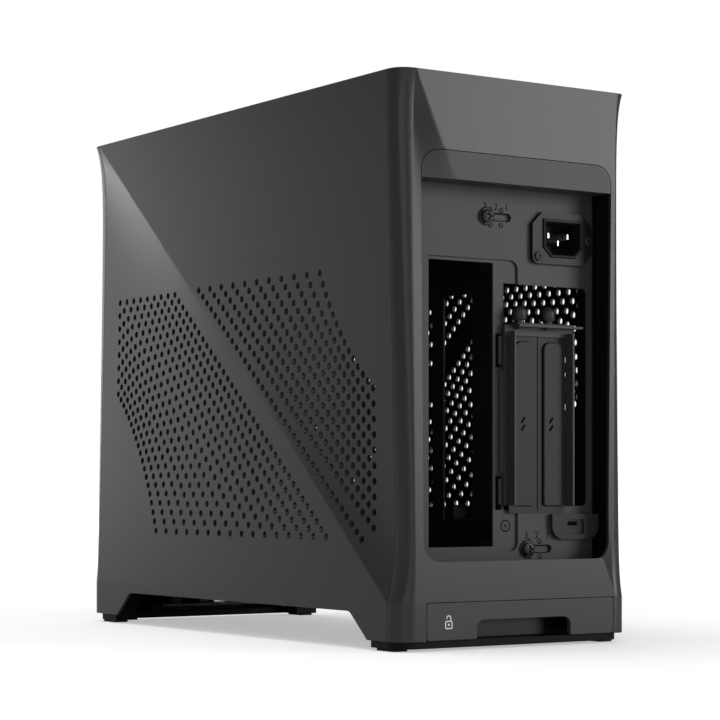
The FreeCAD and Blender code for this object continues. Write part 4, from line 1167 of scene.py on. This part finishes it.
class CASE_OT_spine_details(bpy.types.Operator):
    """Bent tabs and backing plates at the flange's slots, a flush rivet, curl marks on the slot covers, and
    painted shade as dark lines round the covers' pads, along the seam between the covers and round the
    rivet.
    """
    bl_idname = "case.spine_details"
    bl_label = "Spine details"

    def execute(self, context):
        face = 0.1586
        tab_spans = ((0.0792, 0.0935), (0.1575, 0.1735))
        tabs = [bent_tab(face, low, high) for low, high in tab_spans]
        wide, tall, deep, aside = 0.0085, 0.009, 0.0007, 0.0115
        backing = ribbon([(0, 0), (wide, 0)], tall, -deep, -0.00002)
        tabs += [placed(backing, x - aside, face, z) for x, z in adjuster_places]
        make_piece("hook_tabs", tabs, "Satin steel coat", "spine", "chassis_coat", crease=40)
        rivet = -0.0063, face, 0.067
        rivet_radius = 0.0031
        rings = [(0.0002, -0.0003), (rivet_radius, -0.0003), (rivet_radius, 0.00010), (0.0026, 0.00014),
                 (0.0024, -0.0001), (0.0016, -0.0001), (0.0014, 0.00012), (0.0004, 0.00014)]
        make_piece("flange_rivet", [placed(turned(rings, 40), *rivet)], "Blackened steel", "spine",
                   "chassis_coat", crease=30)
        # A curl is half a sine wave on a raised pad
        curl_reach, curl_rise, curl_width = 0.0014, 0.0013, 0.0012
        swing = np.linspace(-1, 1, 13)
        curl = np.stack([curl_reach * swing, curl_rise * np.sin(swing * math.pi / 2)], -1)
        curl = ribbon(curl, curl_width, -0.0002, 0.0003)
        pad_face = 0.1625
        marks = [placed(curl, x, pad_face, z) for x in (-0.0159, -0.0361) for z in (0.1267, 0.1223)]
        # Painted shade: dark lines round each cover's pad and along the seam between the covers
        seat = 0.1609
        line, sunk, proud = 0.0006, -0.0001, 0.0001
        half, pad_low, pad_high = 0.00645, 0.0782, 0.1708
        pad = rounded_box(-half, half, pad_low, pad_high, [0.0018, 0.0018, 0.004, 0.004])
        for name in ("slot_cover_left", "slot_cover_right"):
            low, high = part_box(name)
            marks.append(placed(ribbon(pad, line, sunk, proud, True), (low.x + high.x) / 2, seat, 0.0))
        seam_x, seam_low, seam_high = -0.0273, 0.0755, 0.1735
        seam = ribbon([(0, seam_low), (0, seam_high)], line, sunk, proud)
        marks.append(placed(seam, seam_x, seat, 0.0))
        # Painted shade: a dark ring round the rivet's head and a dark dot in its middle
        for radius, width in ((rivet_radius, 0.0006), (0.0004, 0.0007)):
            marks.append(placed(ribbon(circle(0, 0, radius, 32), width, 0.0, 0.00016, True), *rivet))
        make_piece("cover_marks", marks, "Dark print", "spine", "chassis_coat")
        return {"FINISHED"}


class CASE_OT_cross_rail(bpy.types.Operator):
    """Low rail of the moulded base from leg to leg behind the drawer's finger notch."""
    bl_idname = "case.cross_rail"
    bl_label = "Cross rail"

    def execute(self, context):
        reach, tall, half_thick = 0.0622, 0.0055, 0.001
        rail = ribbon([(-reach, 0.0), (reach, 0.0)], tall, -half_thick, half_thick)
        make_piece("base_cross_rail", [placed(rail, 0.0, 0.1565, 0.0058)], "Matte moulding", "chassis",
                   "base_plastic")
        return {"FINISHED"}


class CASE_OT_inlet_details(bpy.types.Operator):
    """Raised rim round the mains socket and three tapered contact blades in it."""
    bl_idname = "case.inlet_details"
    bl_label = "Inlet details"

    def execute(self, context):
        low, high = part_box("inlet_housing")
        x, z = (low.x + high.x) / 2, (low.z + high.z) / 2
        wide, tall, cut = 0.0125, 0.009, 0.0045
        mouth = [(-wide + cut, -tall), (wide - cut, -tall), (wide, -tall + cut), (wide, tall),
                 (-wide, tall), (-wide, -tall + cut)]
        section = [(0.0021, -0.0002), (0.0016, 0.0009), (0.0006, 0.0011), (0.0, 0.0006),
                   (-0.00002, -0.0002)]
        rows = [np.concatenate([offset_outline(mouth, out), np.full((len(mouth), 1), rise)], 1)
                for out, rise in section]
        rim = np.concatenate(rows), grid_faces(len(rows), len(mouth), True, True).tolist()
        make_piece("socket_rim", [placed(rim, x, high.y, z)], "Smooth moulding", "chassis", "black_plastic")
        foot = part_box("inlet_pins")[0].y
        half_wide, half_tall, length_out = 0.0009, 0.0019, 0.011
        rows = []
        for share, rise in ((1.0, 0.0), (1.0, 0.80), (0.9, 0.9), (0.55, 0.985), (0.45, 0.99)):
            a, b = half_wide * share, half_tall * (0.5 + 0.5 * share)
            corners = [(-a, -b), (a, -b), (a, b), (-a, b)]
            rows.append(np.concatenate([corners, np.full((4, 1), rise * length_out)], 1))
        ends = [[3, 2, 1, 0], [16, 17, 18, 19]]
        blade = np.concatenate(rows), grid_faces(len(rows), 4, True).tolist() + ends
        places = ((-0.007, 0.002), (0.007, 0.002), (0.0, -0.002))
        blades = [placed(blade, x - dx, foot, z + dz) for dx, dz in places]
        make_piece("contact_blades", blades, "Plated metal", "chassis", "bright_metal", "inlet_pins")
        return {"FINISHED"}


# Name, place, width, height and power of each soft box
soft_boxes = (
    ("key_box", (0.74, -2.75, 0.42), 1.2, 0.8, 7.0),
    ("rear_box", (-1.95, 2.3, 0.75), 1.3, 1.3, 30.0),
    ("fill_box", (1.0, 2.6, 1.1), 2.0, 2.0, 10.0),
    ("top_box", (0.4, -0.3, 2.4), 1.6, 1.6, 27.0),
)


class CASE_OT_stage(bpy.types.Operator):
    """Pale floor, even light with four soft boxes, and the camera of the reference view."""
    bl_idname = "case.stage"
    bl_label = "Stage"

    def execute(self, context):
        scene = context.scene
        stage = scene.case_stage
        scene.view_settings.view_transform = "Standard"
        lens = bpy.data.cameras.new("case_camera")
        lens.sensor_width = 36.0
        lens.lens = stage.lens
        lens.shift_y = stage.rise
        lens.clip_end = 100.0
        camera = bpy.data.objects.new("case_camera", lens)
        camera.location = stage.place
        camera.rotation_euler = (math.radians(90), 0, stage.yaw)
        scene.collection.objects.link(camera)
        scene.camera = camera
        count = 9
        edge = np.linspace(-stage.floor, stage.floor, count)
        x, y = np.meshgrid(edge, edge)
        points = np.stack([x.ravel(), y.ravel(), np.zeros(x.size)], -1)
        floor = put_mesh("studio_floor", points, grid_faces(count, count, False).tolist(), smooth=False)
        material = bpy.data.materials.new("Studio floor")
        material.use_nodes = True
        tree = material.node_tree
        shader = tree.nodes["Principled BSDF"]
        shader.inputs["Base Color"].default_value = (0.85, 0.85, 0.85, 1)
        shader.inputs["Roughness"].default_value = 0.7
        shader.inputs["Emission Color"].default_value = (1, 1, 1, 1)
        path = add_node(tree, "ShaderNodeLightPath")
        place = add_node(tree, "ShaderNodeTexCoord")
        reach = add_node(tree, "ShaderNodeVectorMath", operation="LENGTH")
        far = add_node(tree, "ShaderNodeMapRange", interpolation_type="SMOOTHSTEP")
        for key, value in (("From Min", 0.5), ("From Max", 1.6), ("To Min", 0.45)):
            far.inputs[key].default_value = value
        tree.links.new(place.outputs["Object"], reach.inputs[0])
        tree.links.new(reach.outputs["Value"], far.inputs["Value"])
        glow = arithmetic(tree, "MULTIPLY", path.outputs["Is Camera Ray"], far.outputs["Result"])
        tree.links.new(glow, shader.inputs["Emission Strength"])
        floor.data.materials.append(material)
        world = bpy.data.worlds.new("studio")
        world.use_nodes = True
        scene.world = world
        tree = world.node_tree
        sky = tree.nodes["Background"]
        sky.inputs["Color"].default_value = (1, 1, 1, 1)
        path = add_node(tree, "ShaderNodeLightPath")
        camera_ray, glass_ray = path.outputs["Is Camera Ray"], path.outputs["Is Transmission Ray"]
        seen = arithmetic(tree, "MAXIMUM", camera_ray, glass_ray)
        mirrored = arithmetic(tree, "MULTIPLY", path.outputs["Is Glossy Ray"], stage.mirrored)
        seen = arithmetic(tree, "MAXIMUM", seen, mirrored)
        tree.links.new(arithmetic(tree, "MAXIMUM", seen, stage.daylight), sky.inputs["Strength"])
        aim = Vector((0, 0, 0.15))
        for name, place, wide, tall, power in soft_boxes:
            light = bpy.data.lights.new(name, "AREA")
            light.shape = "RECTANGLE"
            light.size = wide
            light.size_y = tall
            light.energy = power
            lamp = bpy.data.objects.new(name, light)
            lamp.location = place
            lamp.rotation_euler = (aim - Vector(place)).to_track_quat("-Z", "Y").to_euler()
            scene.collection.objects.link(lamp)
        return {"FINISHED"}


class VIEW3D_PT_case(bpy.types.Panel):
    """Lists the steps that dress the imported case."""
    bl_idname = "VIEW3D_PT_case"
    bl_label = "Mini-tower case"
    bl_space_type = "VIEW_3D"
    bl_region_type = "UI"
    bl_category = "Case"

    def draw(self, context):
        for step in steps:
            self.layout.operator(step.bl_idname)


settings = {"case_shell": ShellSizes, "case_hardware": HardwareSizes, "case_colours": FinishColours,
            "case_stage": StageSettings}
steps = (CASE_OT_finishes, CASE_OT_side_panels, CASE_OT_end_panels, CASE_OT_rear_lip,
         CASE_OT_thumbscrews, CASE_OT_adjusters, CASE_OT_inlet_screws, CASE_OT_position_marks,
         CASE_OT_padlock_sign, CASE_OT_spine_details, CASE_OT_cross_rail, CASE_OT_inlet_details,
         CASE_OT_stage)
classes = tuple(settings.values()) + steps + (VIEW3D_PT_case,)


def register():
    """Registers the classes and hangs the settings on the scene."""
    for item in classes:
        bpy.utils.register_class(item)
    for name, group in settings.items():
        setattr(bpy.types.Scene, name, PointerProperty(type=group))


def unregister():
    """Takes the settings and the classes away again."""
    for name in reversed(settings):
        delattr(bpy.types.Scene, name)
    for item in reversed(classes):
        bpy.utils.unregister_class(item)


def main():
    """Runs every step in order."""
    register()
    bpy.ops.case.finishes()
    bpy.ops.case.side_panels()
    bpy.ops.case.end_panels()
    bpy.ops.case.rear_lip()
    bpy.ops.case.thumbscrews()
    bpy.ops.case.adjusters()
    bpy.ops.case.inlet_screws()
    bpy.ops.case.position_marks()
    bpy.ops.case.padlock_sign()
    bpy.ops.case.spine_details()
    bpy.ops.case.cross_rail()
    bpy.ops.case.inlet_details()
    bpy.ops.case.stage()


if __name__ == "__main__":
    main()
